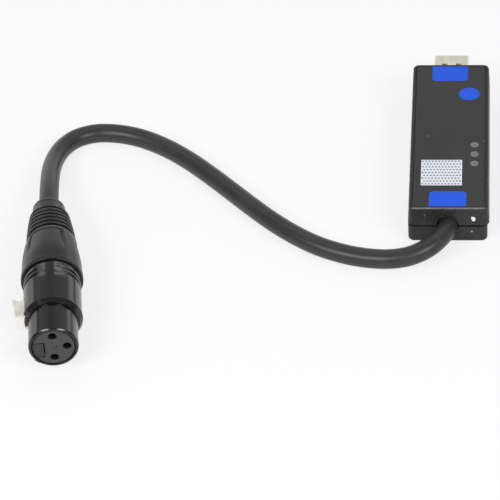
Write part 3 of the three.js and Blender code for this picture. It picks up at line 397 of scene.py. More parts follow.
plain_material("blue_ink", (0.003, 0.093, 0.74), 0.38, (3, 0.06, 0.1), (0.16, 0.006), specular=0.35)
plain_material("pale_ink", (0.76, 0.79, 0.86), 0.45, (2.5, 0.03, 0.1), INK_GRAIN, specular=0.4)
plain_material("dot_ink", (0.14, 0.17, 0.25), 0.45, (0.8, 0.2, 0.1), INK_GRAIN, specular=0.4)
plain_material("frosted_window", (0.16, 0.165, 0.17), 0.3, (0.7, 0.12, 0.2), (0.2, 0.01))
plain_material("white_plastic", (0.75, 0.75, 0.72), 0.4, (2, 0.04, 0.1), (0.2, 0.006))
plain_material("gold_plate", (0.6, 0.47, 0.28), 0.3, (1.2, 0.06, 0.25), (0.15, 0.003), metallic=1.0)
plain_material("nut_plastic", SOFT_BLACK, 0.34, (5, 0.16, 0.15), (0.3, 0.014), specular=0.45)
plain_material("soft_black", SOFT_BLACK, 0.33, (4, 0.15, 0.15), (0.3, 0.012), specular=0.45)
plain_material("board_laminate", (0.02, 0.13, 0.05), 0.35, (3, 0.12, 0.2), (0.5, 0.01))
for slot in ("chip_body", "black_nylon"):
    plain_material(slot, (0.02, 0.02, 0.021), 0.55, (1.5, 0.15, 0.1), (0.12, 0.008))
plain_material("tinned_metal", (0.68, 0.69, 0.7), 0.32, (1.8, 0.05, 0.25), (0.3, 0.004), metallic=1.0)
plain_material("ceramic_chip", (0.4, 0.29, 0.18), 0.5, (0.8, 0.12, 0.1), (0.1, 0.006))
plain_material("led_body", (0.8, 0.78, 0.62), 0.3, (0.5, 0.06, 0.1), (0.1, 0.004))
plain_material("spring_steel", (0.55, 0.56, 0.58), 0.25, (1, 0.06, 0.2), (0.1, 0.002), metallic=1.0)
for wire, colour in WIRE_COLOURS.items():
    plain_material(wire, colour, 0.4, (1.5, 0.08, 0.1), (0.2, 0.005))

# Every CAD node gets its slot's material

node_slots = {row["node"]: row["material_slot"] for row in frame["record"]["subparts"]}
for name, node in frame["nodes"].items():
    node.data.materials.clear()
    node.data.materials.append(materials[node_slots[name]])

# Mesh tools

HAIR = 0.001 * MM
CUT_PAST = 1 * MM


def even_angles(steps):
    return [2 * math.pi * i / steps for i in range(steps)]


def circle(x, y, radius, steps):
    """Points round a centre."""
    return [(x + radius * math.sin(a), y + radius * math.cos(a)) for a in even_angles(steps)]


def at_levels(outline, levels):
    """A copy of a flat outline at each of those heights."""
    return [[(x, y, z) for x, y in outline] for z in levels]


def rounded_rectangle(half_a, half_b, radius, steps=10):
    """The points of a rectangle with rounded corners, round the origin."""
    points = []
    for corner, (side_a, side_b) in enumerate(((1, 1), (-1, 1), (-1, -1), (1, -1))):
        for i in range(steps + 1):
            angle = (corner + i / steps) * math.pi / 2
            a = side_a * (half_a - radius) + radius * math.cos(angle)
            b = side_b * (half_b - radius) + radius * math.sin(angle)
            points.append((a, b))
    return points


def rounded_path(corners, steps=5):
    """A closed outline whose corners (a, b, radius) become arcs."""
    points = []
    count = len(corners)
    for i, (a, b, radius) in enumerate(corners):
        here = Vector((a, b))
        if radius <= 0:
            points.append(here)
            continue
        to_last = (Vector(corners[i - 1][:2]) - here).normalized()
        to_next = (Vector(corners[(i + 1) % count][:2]) - here).normalized()
        half = to_last.angle(to_next) / 2
        centre = here + (to_last + to_next).normalized() * (radius / math.sin(half))
        reach = radius / math.tan(half)
        start = here + to_last * reach - centre
        end = here + to_next * reach - centre
        sweep = start.angle_signed(end)
        for k in range(steps + 1):
            turned = start.copy()
            turned.rotate(Matrix.Rotation(-sweep * k / steps, 2))
            points.append(centre + turned)
    return points


def loft(rings, closed=False, into=None):
    """Quads between rings of equally many points. The ends are capped unless the rings close."""
    bm = into or bmesh.new()
    rows = [[bm.verts.new(point) for point in ring] for ring in rings]
    pairs = list(zip(rows, rows[1:]))
    if closed:
        pairs.append((rows[-1], rows[0]))
    count = len(rows[0])
    for low, high in pairs:
        for i in range(count):
            j = (i + 1) % count
            bm.faces.new((low[i], low[j], high[j], high[i]))
    if not closed:
        bm.faces.new(rows[0])
        bm.faces.new(rows[-1])
    return bm


def lathe(outline, angles, reshape=None, solid=False):
    """An outline of (radius, station) turned about the Y axis. Angles run from +Z towards +X.
    A solid one is capped at its two ends, any other closes on itself."""
    rings = []
    for radius, station in outline:
        ring = []
        for angle in angles:
            out = reshape(radius, station, angle) if reshape else radius
            ring.append((out * math.sin(angle), station, out * math.cos(angle)))
        rings.append(ring)
    return loft(rings, closed=not solid)


def rounded_end(radius, station, edge, steps=4):
    """Points of a turned outline round the corner where its side meets its far end."""
    points = []
    for i in range(steps + 1):
        angle = math.pi / 2 * i / steps
        points.append((radius - edge + edge * math.cos(angle), station - edge + edge * math.sin(angle)))
    return points


def raw_object(name, bm, place=None):
    bmesh.ops.recalc_face_normals(bm, faces=bm.faces)
    mesh = bpy.data.meshes.new(name)
    bm.to_mesh(mesh)
    bm.free()
    if place:
        mesh.transform(place)
    made = bpy.data.objects.new(name, mesh)
    scene.collection.objects.link(made)
    return made


def apply_modifiers(piece):
    graph = bpy.context.evaluated_depsgraph_get()
    mesh = bpy.data.meshes.new_from_object(piece.evaluated_get(graph))
    piece.modifiers.clear()
    piece.data = mesh
    mesh.name = piece.name


def carve(piece, cutters, operation="DIFFERENCE"):
    """Cuts the cutters out of a piece, or joins them to it, and deletes them."""
    for cutter in cutters:
        step = piece.modifiers.new("cut", "BOOLEAN")
        step.operation = operation
        step.solver = "EXACT"
        step.object = cutter
    apply_modifiers(piece)
    for cutter in cutters:
        bpy.data.objects.remove(cutter)
    return piece


def box_object(low, high, place=None, corner=0.0):
    """A block between two corners, for cutting; its edges along Z may be rounded."""
    middle = [(a + b) / 2 for a, b in zip(low, high)]
    half = [(b - a) / 2 for a, b in zip(low, high)]
    outline = rounded_rectangle(half[0], half[1], max(corner, HAIR), 6 if corner else 1)
    placed = [(middle[0] + x, middle[1] + y) for x, y in outline]
    return raw_object("cutter", loft(at_levels(placed, (low[2], high[2]))), place)


def finish(piece, slot, nodes=(), sharp=32, material=None):
    """Gives a finished mesh its material and its body, and hides the CAD nodes that it stands for."""
    piece.data.materials.clear()
    piece.data.materials.append(material or materials[slot])
    piece.data.shade_smooth()
    piece.data.set_sharp_from_angle(angle=math.radians(sharp))
    level = piece.modifiers.new("level", "WEIGHTED_NORMAL")
    level.keep_sharp = True
    apply_modifiers(piece)
    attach(piece, "root")
    if nodes:
        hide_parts(*nodes)


# The lead, along the CAD's route, in millimetres

CABLE_RADIUS = 3.25 * MM
ROUTE = [
    (0, -37, 6.9), (0, -41.2, 6.9), (-0.25, -45.9, 6.9), (-2.75, -51.4, 6.6), (-7, -56, 5.9),
    (-12.6, -58.6, 4.9), (-19, -59.1, 4.05), (-26.4, -57.9, 3.45), (-34, -55.7, 3.3), (-42.4, -51.8, 3.3),
    (-50.5, -46.1, 3.3), (-58.4, -39, 3.3), (-66, -31, 3.3), (-73.6, -22.5, 3.3), (-81.4, -13.9, 3.3),
    (-89.4, -5.8, 3.3), (-97.9, 1.2, 3.3), (-106.9, 6.4, 3.3), (-115, 8.8, 3.3), (-122.4, 8.95, 3.3),
    (-128.55, 6.3, 3.35), (-132.6, 0.95, 3.65), (-134.55, -6, 4.55), (-135, -14, 6.1), (-134.5, -22.5, 7.85),
    (-133.7, -30.5, 9.3), (-132.95, -37.2, 10), (-131.98, -44.63, 10.1), (-130.26, -55.5, 10.1),
    (-128.73, -66.39, 10.1), (-127.63, -75.02, 10.1),
]
CABLE_STEPS = 14
CABLE_PROFILE = 12


def smooth_line(points, steps):
    """A centripetal curve through the points, with that many steps between neighbours."""
    points = [Vector(p) for p in points]
    ends = [2 * points[0] - points[1]] + points + [2 * points[-1] - points[-2]]
    line = []
    for i in range(len(points) - 1):
        a, b, c, d = ends[i:i + 4]
        t1 = (b - a).length ** 0.5
        t2 = t1 + (c - b).length ** 0.5
        t3 = t2 + (d - c).length ** 0.5
        for k in range(steps):
            t = t1 + (t2 - t1) * k / steps
            ab = a * ((t1 - t) / t1) + b * (t / t1)
            bc = b * ((t2 - t) / (t2 - t1)) + c * ((t - t1) / (t2 - t1))
            cd = c * ((t3 - t) / (t3 - t2)) + d * ((t - t2) / (t3 - t2))
            abc = ab * ((t2 - t) / t2) + bc * (t / t2)
            bcd = bc * ((t3 - t) / (t3 - t1)) + cd * ((t - t1) / (t3 - t1))
            line.append(abc * ((t2 - t) / (t2 - t1)) + bcd * ((t - t1) / (t2 - t1)))
    line.append(points[-1])
    return line


def make_jacket(line):
    """A curve with a round profile along the line."""
    curve = bpy.data.curves.new("lead_jacket", "CURVE")
    curve.dimensions = "3D"
    spline = curve.splines.new("POLY")
    spline.points.add(len(line) - 1)
    for point, place in zip(spline.points, line):
        point.co = (*place, 1)
    spline.use_smooth = True
    curve.bevel_depth = CABLE_RADIUS
    curve.bevel_resolution = CABLE_PROFILE
    curve.use_fill_caps = True
    curve.materials.append(materials["cable_jacket"])
    made = bpy.data.objects.new("lead_jacket", curve)
    scene.collection.objects.link(made)
    return made


jacket_line = smooth_line([[c * MM for c in point] for point in ROUTE], CABLE_STEPS)
jacket = make_jacket(jacket_line)
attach(jacket, "root")
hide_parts("connection_cable")

# Housing, with sizes from the frame

cover_low, cover_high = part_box("upper_cover")
base_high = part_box("lower_base")[1]
plug_low, plug_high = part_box("usb_shell")
FLARE = 0.4 * MM
HALF_X = (cover_high.x - cover_low.x) / 2 - FLARE
HALF_Y = (cover_high.y - cover_low.y) / 2
MIDDLE_Y = (cover_high.y + cover_low.y) / 2
TOP = cover_high.z
GAP = 0.3 * MM
PARTING = 6.9 * MM
COVER_BOTTOM = PARTING + GAP / 2
BASE_TOP = PARTING - GAP / 2
CORNER = 2 * MM
TOP_EDGE = 0.5 * MM
BOTTOM_EDGE = 1.2 * MM
BASE_HALF_X = base_high.x
BASE_HALF_Y = base_high.y - MIDDLE_Y
BASE_SHIFT = -0.3 * MM
BASE_RIM_DROP = 0.4 * MM
BASE_RIM_EDGE = 0.35 * MM
WALL = 1.6 * MM
STEP = 0.4 * MM
FLOOR = 1.6 * MM
LIP_SKIN = 1.0 * MM
LIP_TOP = COVER_BOTTOM + 1.2 * MM
RECESS_FLOOR = film_low.z
RECESS_GAP = 0.28 * MM
RECESS_BRINK = 0.05 * MM
RECESS_INSET = HALF_X - film_high.x + FILM_TRIM - RECESS_GAP
FILM_CORNER = 1.2 * MM
CEILING = RECESS_FLOOR - 1.3 * MM
SMALL_EDGE = 0.2 * MM
ENTRY_OFFSET = -0.3 * MM
COVER_ENTRY = CABLE_RADIUS + 0.45 * MM
BASE_ENTRY = CABLE_RADIUS + 0.4 * MM
LEAST_CORNER = 0.35 * MM
PLUG_MIDDLE = 7.4 * MM
PLUG_HALF_Z = 2.25 * MM
WINDOW_NODES = ("light_window_1", "light_window_2", "light_window_3")
WINDOW_RADIUS = 1.5 * MM
WINDOW_GAP = 0.15 * MM


def housing_ring(inset, z, corner=CORNER, half_x=HALF_X, half_y=HALF_Y):
    outline = rounded_rectangle(half_x - inset, half_y - inset, max(corner - inset, LEAST_CORNER))
    return [(x, MIDDLE_Y + y, z) for x, y in outline]


def cover_ring(inset, z):
    """A ring of the cover's outside, whose long sides flare downwards."""
    return housing_ring(inset, z, half_x=HALF_X + FLARE * (TOP - z) / (TOP - COVER_BOTTOM))


def base_ring(inset, z):
    ring = housing_ring(inset, z, half_x=BASE_HALF_X, half_y=BASE_HALF_Y)
    return [(x + BASE_SHIFT, y, z) for x, y, z in ring]


def rolled_edge(ring, radius, z, start, end, steps):
    """Rings round an edge of that radius whose centre is at that level."""
    rings = []
    for i in range(steps + 1):
        angle = math.radians(start + (end - start) * i / steps)
        rings.append(ring(radius - radius * math.cos(angle), z + radius * math.sin(angle)))
    return rings


def entry_cutter(radius):
    """A round cutter for the lead's entry, through the wall and the lip."""
    outer = cover_low.y - CUT_PAST
    inner = cover_low.y + WALL + LIP_SKIN + CUT_PAST
    outline = circle(ENTRY_OFFSET, PARTING, radius, 96)
    return raw_object("cutter", loft([[(x, y, z) for x, z in outline] for y in (outer, inner)]))


def plug_cutter():
    """A block as wide as the plug and its gap, through the wall and the lip."""
    half_x = (plug_high.x - plug_low.x) / 2 + GAP
    low = (-half_x, cover_high.y - WALL - LIP_SKIN - CUT_PAST, PLUG_MIDDLE - PLUG_HALF_Z - GAP)
    high = (half_x, cover_high.y + CUT_PAST, PLUG_MIDDLE + PLUG_HALF_Z + GAP)
    return box_object(low, high)


def window_cutters(low_z, high_z):
    """Round cutters for the three status lights between two levels."""
    cutters = []
    for name in WINDOW_NODES:
        low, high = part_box(name)
        middle = (low + high) / 2
        outline = circle(middle.x, middle.y, WINDOW_RADIUS + WINDOW_GAP, 48)
        cutters.append(raw_object("cutter", loft(at_levels(outline, (low_z, high_z)))))
    return cutters


def cover_shell():
    """The upper half, with a lip inside, rolled edges and the film's recess."""
    rings = [
        housing_ring(WALL, CEILING),
        housing_ring(WALL, LIP_TOP + GAP),
        housing_ring(LIP_SKIN, LIP_TOP + GAP),
        housing_ring(LIP_SKIN, COVER_BOTTOM),
    ]
    rings += rolled_edge(cover_ring, SMALL_EDGE, COVER_BOTTOM + SMALL_EDGE, -90, 0, 4)
    rings += rolled_edge(cover_ring, TOP_EDGE, TOP - TOP_EDGE, 0, 90, 8)
    recess_corner = FILM_CORNER + RECESS_GAP + RECESS_INSET
    rings += [
        housing_ring(RECESS_INSET - RECESS_BRINK, TOP, recess_corner),
        housing_ring(RECESS_INSET, TOP - RECESS_BRINK, recess_corner),
        housing_ring(RECESS_INSET, RECESS_FLOOR, recess_corner),
    ]
    shell = raw_object("cover_shell", loft(rings))
    holes = window_cutters(CEILING - CUT_PAST, TOP + CUT_PAST)
    carve(shell, [entry_cutter(COVER_ENTRY), plug_cutter(), *holes])
    finish(shell, "black_plastic", ["upper_cover"])


def base_tray():
    """The lower half, whose rim reaches up behind the cover's lip."""
    inner = WALL + STEP
    rim = BASE_TOP - BASE_RIM_DROP
    rings = [
        housing_ring(inner, FLOOR),
        housing_ring(inner, LIP_TOP),
        housing_ring(LIP_SKIN + GAP, LIP_TOP),
        housing_ring(LIP_SKIN + GAP, rim),
    ]
    rings += rolled_edge(base_ring, BASE_RIM_EDGE, rim - BASE_RIM_EDGE, 90, 0, 5)
    rings += rolled_edge(base_ring, BOTTOM_EDGE, BOTTOM_EDGE, 0, -90, 10)
    tray = raw_object("base_tray", loft(rings))
    carve(tray, [entry_cutter(BASE_ENTRY), plug_cutter()])
    finish(tray, "black_plastic", ["lower_base"])


cover_shell()
base_tray()

# Film on the cover, with its printed areas as thin layers of ink

INK = 0.03 * MM
FILM_EDGE = 0.1 * MM
TAB_HALF = 6.13 * MM
TAB_CORNER = 1.6 * MM
TAB_SQUARE_CORNER = 0.05 * MM
TAB_MIDDLE = -0.3 * MM
TAB_END_GAP = 0.1 * MM
PLUG_TAB_INNER = 24.1 * MM
CABLE_TAB_INNER = -36.6 * MM
DISC_CENTRE = (6.34 * MM, 16.6 * MM)
DISC_RADIUS = 3.55 * MM
SQUARE_CENTRE = (-2.52 * MM, -26.69 * MM)
SQUARE_SIDE = 13.57 * MM
SQUARE_CORNER = 0.15 * MM
DOT_COLUMNS = 12
DOT_ROWS = 9
DOT_RADIUS = 0.34 * MM


def film():
    """A sheet with a rounded upper edge and three holes."""
    low, high = film_low, film_high
    half_x, half_y = (high.x - low.x) / 2 - FILM_TRIM, (high.y - low.y) / 2
    third = FILM_EDGE * 0.3
    rings = []
    for inset, z in ((0, low.z), (0, high.z - FILM_EDGE), (third, high.z - third), (FILM_EDGE, high.z)):
        outline = rounded_rectangle(half_x - inset, half_y - inset, FILM_CORNER - inset)
        rings.append([(x, (low.y + high.y) / 2 + y, z) for x, y in outline])
    sheet = raw_object("face_film", loft(rings))
    carve(sheet, window_cutters(low.z - CUT_PAST, high.z + CUT_PAST))
    finish(sheet, "label_film", ["face_panel"])


def ink_layer(name, outline, ink):
    """A thin layer with that outline on the film."""
    edge = INK / 2
    centre = Vector((sum(p[0] for p in outline), sum(p[1] for p in outline))) / len(outline)
    inner = []
    for x, y in outline:
        inward = (centre - Vector((x, y))).normalized() * edge
        inner.append((x + inward.x, y + inward.y, film_high.z + INK))
    sides = at_levels(outline, (film_high.z - 0.01 * MM, film_high.z + edge))
    layer = raw_object(name, loft([*sides, inner]))
    finish(layer, "label_film", material=materials[ink])


def tab_outline(end_y, inner_y):
    """A tab that starts square at the film's end and is rounded at its inner corners."""
    left = TAB_MIDDLE - TAB_HALF
    right = TAB_MIDDLE + TAB_HALF
    corners = [
        (left, end_y, TAB_SQUARE_CORNER), (left, inner_y, TAB_CORNER),
        (right, inner_y, TAB_CORNER), (right, end_y, TAB_SQUARE_CORNER),
    ]
    return [tuple(p) for p in rounded_path(corners, 8)]


def printed_areas():
    ink_layer("plug_end_tab", tab_outline(film_high.y - TAB_END_GAP, PLUG_TAB_INNER), "blue_ink")
    ink_layer("cable_end_tab", tab_outline(film_low.y + TAB_END_GAP, CABLE_TAB_INNER), "blue_ink")
    ink_layer("blue_disc", circle(*DISC_CENTRE, DISC_RADIUS, 72), "blue_ink")
    square = rounded_rectangle(SQUARE_SIDE / 2, SQUARE_SIDE / 2, SQUARE_CORNER, 3)
    ink_layer("pale_square", [(SQUARE_CENTRE[0] + x, SQUARE_CENTRE[1] + y) for x, y in square], "pale_ink")


def dot_grid():
    """Even rows of thin dots on the pale square, each row shifted by half a step."""
    bm = bmesh.new()
    pitch_x = SQUARE_SIDE / (DOT_COLUMNS + 0.5)
    pitch_y = SQUARE_SIDE / DOT_ROWS
    base = film_high.z + INK / 2
    for row in range(DOT_ROWS):
        for column in range(DOT_COLUMNS):
            x = SQUARE_CENTRE[0] - SQUARE_SIDE / 2 + (column + 0.5 + row % 2 / 2) * pitch_x
            y = SQUARE_CENTRE[1] - SQUARE_SIDE / 2 + (row + 0.5) * pitch_y
            loft(at_levels(circle(x, y, DOT_RADIUS, 16), (base, base + INK)), into=bm)
    finish(raw_object("dot_grid", bm), "label_film", material=materials["dot_ink"])


FLANGE_RADIUS = 2.2 * MM
FLANGE_THICKNESS = 0.6 * MM
FLANGE_GAP = 0.15 * MM
STEM_RADIUS = 1.25 * MM
WINDOW_EDGE = 0.15 * MM
WINDOW_DISH = ((0.75, 0.03 * MM), (0.5, 0.08 * MM), (0.25, 0.12 * MM))


def light_window(node):
    """A turned window with a flange under the ceiling and a slightly dished face."""
    low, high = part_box(node)
    flange_top = CEILING - FLANGE_GAP
    flange_low = flange_top - FLANGE_THICKNESS
    edge = 0.1 * MM
    outline = rounded_path([
        (STEM_RADIUS, low.z, 0), (STEM_RADIUS, flange_low, edge), (FLANGE_RADIUS, flange_low, edge),
        (FLANGE_RADIUS, flange_top, edge), (WINDOW_RADIUS, flange_top, edge),
    ], 4)
    outline += rounded_end(WINDOW_RADIUS, high.z, WINDOW_EDGE)
    outline += [(WINDOW_RADIUS * share, high.z - depth) for share, depth in WINDOW_DISH]
    middle = Matrix.Translation(((low.x + high.x) / 2, (low.y + high.y) / 2, 0))
    upright = middle @ Matrix.Rotation(math.pi / 2, 4, "X")
    name = node.replace("light", "status")
    window = raw_object(name, lathe(outline, even_angles(48), solid=True), upright)
    finish(window, "frosted_window", [node])


film()
printed_areas()
dot_grid()
for node in WINDOW_NODES:
    light_window(node)

# Type A plug: folded sheet with spring windows and a seam underneath

PLUG_SHEET = 0.3 * MM
PLUG_CORNER = 0.6 * MM
PLUG_LIP = ((0, 0.7), (0.03, 0.35), (0.09, 0.1), (0.16, 0.02), (0.22, 0), (0.28, 0), (0.32, 0.05), (0.3, 0.3))
PLUG_WINDOW = {"width": 2 * MM, "length": 2.2 * MM, "from_tip": 5.1 * MM, "offset": 2.5 * MM}
PLUG_WINDOW_CORNER = 0.2 * MM
PLUG_SEAM = 0.06 * MM
PLUG_SEAM_DEPTH = 0.12 * MM


def plug_ring(inset, y):
    half_x = (plug_high.x - plug_low.x) / 2
    outline = rounded_rectangle(half_x - inset, PLUG_HALF_Z - inset, PLUG_CORNER - min(inset, PLUG_SHEET), 8)
    return [(x, y, PLUG_MIDDLE + z) for x, z in outline]


def plug_shell():
    """The folded sheet; its lip is given as insets and distances from the tip, in millimetres."""
    tip = plug_high.y
    back = plug_low.y
    lip = [plug_ring(inset * MM, tip - behind * MM) for inset, behind in PLUG_LIP]
    rings = [plug_ring(0, back), *lip, plug_ring(PLUG_SHEET, back)]
    shell = raw_object("plug_shell", loft(rings, closed=True))
    far = tip - PLUG_WINDOW["from_tip"]
    half = PLUG_WINDOW["width"] / 2
    cutters = []
    for side in (-1, 1):
        x = side * PLUG_WINDOW["offset"]
        low = (x - half, far - PLUG_WINDOW["length"], PLUG_MIDDLE - 2 * PLUG_HALF_Z)
        high = (x + half, far, PLUG_MIDDLE + 2 * PLUG_HALF_Z)
        cutters.append(box_object(low, high, corner=PLUG_WINDOW_CORNER))
    seam_low = (-PLUG_SEAM, back - CUT_PAST, PLUG_MIDDLE - 2 * PLUG_HALF_Z)
    seam_high = (PLUG_SEAM, tip + CUT_PAST, PLUG_MIDDLE - PLUG_HALF_Z + PLUG_SEAM_DEPTH)
    cutters.append(box_object(seam_low, seam_high))
    carve(shell, cutters)
    finish(shell, "plated_steel", ["usb_shell"])


plug_shell()

# Connector, in millimetres: outlines are radii and stations behind its open face

IN_MM = CONNECTOR @ Matrix.Scale(MM, 4)
PLAY = 0.3
PAST = 1
BORE = 6.98
BARREL_RADIUS = 7.95
BARREL_END = 12
COLLAR_RADIUS = 9.6
COLLAR_NOSE = 8.69
COLLAR_END = 14.1
BODY_RADIUS = 9.35
BODY_END = 31.5
SPIGOT_RADIUS = 8
SPIGOT_END = 43
GROOVE_DEPTH = 0.55
GROOVE_WIDTH = 1.1
GROOVE_ENDS = (27.5, 29.6)
GROOVE_FLAT = 1.35
FLAT_BORDER = 0.006
TURN_STEPS = 160
RIM_KEY_TURN = math.radians(-134.6)
RIM_KEY_RISE = 0.2
RIM_KEY_HALF = 1
RIM_KEY_REACH = (0.5, 3.1)
NOSE_SLOT = ((-11, 7.65, -1.6), (-6.5, 10.5, 1.6))
TAB_SLOT = ((-12, 12.6, -3.3), (-6.1, 21.5, 3.3))


def plain_strip(radius, station, angle):
    """Fills the body's grooves along the narrow strips at its top and its bottom."""
    in_grooves = COLLAR_END + 1 < station < BODY_END - 0.3 and radius > SPIGOT_RADIUS + 0.3
    if in_grooves and abs(math.sin(angle)) * BODY_RADIUS < GROOVE_FLAT:
        return BODY_RADIUS
    return radius


def strip_angles():
    """Even angles, with a close pair at each border of the plain strips."""
    edge = math.asin(GROOVE_FLAT / BODY_RADIUS)
    angles = even_angles(TURN_STEPS)
    for middle in (0, math.pi):
        for border in (middle - edge, middle + edge):
            angles += [(border + away) % (2 * math.pi) for away in (-FLAT_BORDER, FLAT_BORDER)]
    return sorted(angles)


def connector_block(low, high, turn=0.0):
    """A block between two corners, turned about the connector's axis."""
    place = CONNECTOR @ Matrix.Rotation(turn, 4, "Y")
    return box_object([v * MM for v in low], [v * MM for v in high], place)


def connector_barrel():
    """The turned shell, with two grooves, the latch's two slots and a small key beside its rim."""
    corners = [
        (BORE, 0, 0.12), (BARREL_RADIUS - 0.45, 0, 0.12), (BARREL_RADIUS, 0.45, 0.3),
        (BARREL_RADIUS, BARREL_END, 0.05), (COLLAR_NOSE, BARREL_END, 0.1),
        (COLLAR_RADIUS, BARREL_END + 1.4, 0.5), (COLLAR_RADIUS, COLLAR_END - 0.2, 0.1),
        (BODY_RADIUS, COLLAR_END, 0.1),
    ]
    for end in GROOVE_ENDS:
        floor = BODY_RADIUS - GROOVE_DEPTH
        corners += [
            (BODY_RADIUS, end - GROOVE_WIDTH, 0.18), (floor, end - GROOVE_WIDTH + 0.1, 0.2),
            (floor, end - 0.1, 0.2), (BODY_RADIUS, end, 0.18),
        ]
    corners += [
        (BODY_RADIUS, BODY_END, 0.2), (SPIGOT_RADIUS, BODY_END, 0.1),
        (SPIGOT_RADIUS, SPIGOT_END, 0.1), (BORE, SPIGOT_END, 0.1),
    ]
    outline = rounded_path(corners, 4)
    barrel = raw_object("connector_barrel", lathe(outline, strip_angles(), plain_strip), IN_MM)
    carve(barrel, [connector_block(*NOSE_SLOT), connector_block(*TAB_SLOT)])
    key_start, key_end = RIM_KEY_REACH
    key_low = (-RIM_KEY_HALF, key_start, BARREL_RADIUS - 0.5)
    key_high = (RIM_KEY_HALF, key_end, BARREL_RADIUS + RIM_KEY_RISE)
    carve(barrel, [connector_block(key_low, key_high, RIM_KEY_TURN)], "UNION")
    finish(barrel, "black_metal", ["connector_shell"])


INSERT_FACE = 0.1
INSERT_RADIUS = BORE - PLAY
INSERT_END = 22
CONTACT_CIRCLE = 4.3
CONTACT_HOLE = 1.3
CONTACT_BORE = 1.9
CONTACT_BORE_START = 1.7
CONTACT_HOLE_END = 3
CONTACT_LEAD = 0.3
CONTACT_ANGLES = (0, 90, 180)
INSERT_EDGE = 0.2
POCKET_CUTS = [
    ((-6.5, -0.6, -3.9), (-2.75, 0.4, 2.1)),
    ((-6.3, -0.6, 1.6), (-2.75, 3.0, 2.15)),
    ((-3.15, -0.6, -2.6), (-2.7, 3.0, 2.15)),
    ((-3.75, -0.6, -4.0), (-2.95, 2.0, -3.7)),
]
MOULD_MARKS = [(0.9, 0.1, 0.3), (1.35, 0.45, 0.18), (0.45, -0.2, 0.16)]
MOULD_MARK_END = 0.3
LATCH_CUTS = [
    ((-BORE, 3, -1.8), (-4.05, 12.9, 1.8)),
    ((-BORE, 12.6, -3.3), (-2.9, INSERT_END + PAST, 3.3)),
]


def round_cutter(radius, x, z, start, end, lead=0.0):
    """A round cutter along the axis, with a cone of that size at its start."""
    outline = [(radius, start), (radius, end)]
    if lead:
        outline[:1] = [(radius + lead, start), (radius + lead, INSERT_FACE), (radius, INSERT_FACE + lead)]
    place = IN_MM @ Matrix.Translation((x, 0, z))
    return raw_object("cutter", lathe(outline, even_angles(48), solid=True), place)


def insert_block():
    """The contact insert, with three stepped holes, the keyway's pocket and room for the latch."""
    outline = []
    for i in range(5):
        angle = math.pi / 2 * i / 4
        station = INSERT_FACE + INSERT_EDGE - INSERT_EDGE * math.cos(angle)
        outline.append((INSERT_RADIUS - INSERT_EDGE + INSERT_EDGE * math.sin(angle), station))
    outline.append((INSERT_RADIUS, INSERT_END))
    block = raw_object("insert_block", lathe(outline, even_angles(TURN_STEPS), solid=True), IN_MM)
    cutters = []
    for degrees in CONTACT_ANGLES:
        x = CONTACT_CIRCLE * math.sin(math.radians(degrees))
        z = CONTACT_CIRCLE * math.cos(math.radians(degrees))
        cutters.append(round_cutter(CONTACT_HOLE, x, z, -PAST, CONTACT_HOLE_END, CONTACT_LEAD))
        cutters.append(round_cutter(CONTACT_BORE, x, z, CONTACT_BORE_START, INSERT_END + PAST))
    cutters += [connector_block(low, high) for low, high in POCKET_CUTS]
    for x, z, radius in MOULD_MARKS:
        cutters.append(round_cutter(radius, x, z, -PAST, MOULD_MARK_END))
    cutters += [connector_block(low, high) for low, high in LATCH_CUTS]
    carve(block, cutters)
    finish(block, "insert_plastic", ["contact_insert"])


NUT_FRONT = 32.1
NUT_LENGTH = 19.5
NUT_RADIUS = 10.1
NUT_WAIST = 9.87
NUT_RING = 2
NUT_REAR_RADIUS = 8.05
NUT_SWELL = 2.7
NUT_BORE = SPIGOT_RADIUS + PLAY
NUT_THROAT = 6
NUT_STEPS = 44
NUT_RING_EDGE = 0.15
NUT_RING_STEP = 0.35
NUT_REAR_EDGE = 0.3
NUT_REAR_SHARE = 0.018
CONE_START = SPIGOT_END + PLAY
CONE_END = CONE_START + 3.2
GRIP_COUNT = 3
GRIP_DEPTH = 0.3
GRIP_TURN = math.radians(-9)
GRIP_HALF = math.radians(37.7)
GRIP_BORDER = math.radians(3)
GRIP_GROOVE = math.radians(2.7)
GRIP_GROOVE_DEPTH = 0.5
GRIP_SHARES = (0.3, 0.7, 0.895, 0.925)
GRIP_SKIN = 0.6


def nut_radius(share):
    return NUT_REAR_RADIUS + (NUT_WAIST - NUT_REAR_RADIUS) * (1 - share ** NUT_SWELL)


def smooth_step(value, start, end):
    share = min(1, max(0, (value - start) / (end - start)))
    return share * share * (3 - 2 * share)


def grip_panels(radius, station, angle):
    """Sinks three wide panels into the thinner half of the nut."""
    share = (station - NUT_FRONT) / NUT_LENGTH
    if radius < nut_radius(min(1, max(0, share))) - GRIP_SKIN:
        return radius
    pitch = 2 * math.pi / GRIP_COUNT
    away = abs((angle - GRIP_TURN + pitch / 2) % pitch - pitch / 2)
    inside = 1 - smooth_step(away, GRIP_HALF - GRIP_BORDER / 2, GRIP_HALF + GRIP_BORDER / 2)
    start, full, fade, end = GRIP_SHARES
    along = smooth_step(share, start, full) * (1 - smooth_step(share, fade, end))
    border = math.exp(-(((away - GRIP_HALF) / GRIP_GROOVE) ** 2))
    return radius - (GRIP_DEPTH * inside + GRIP_GROOVE_DEPTH * border) * along


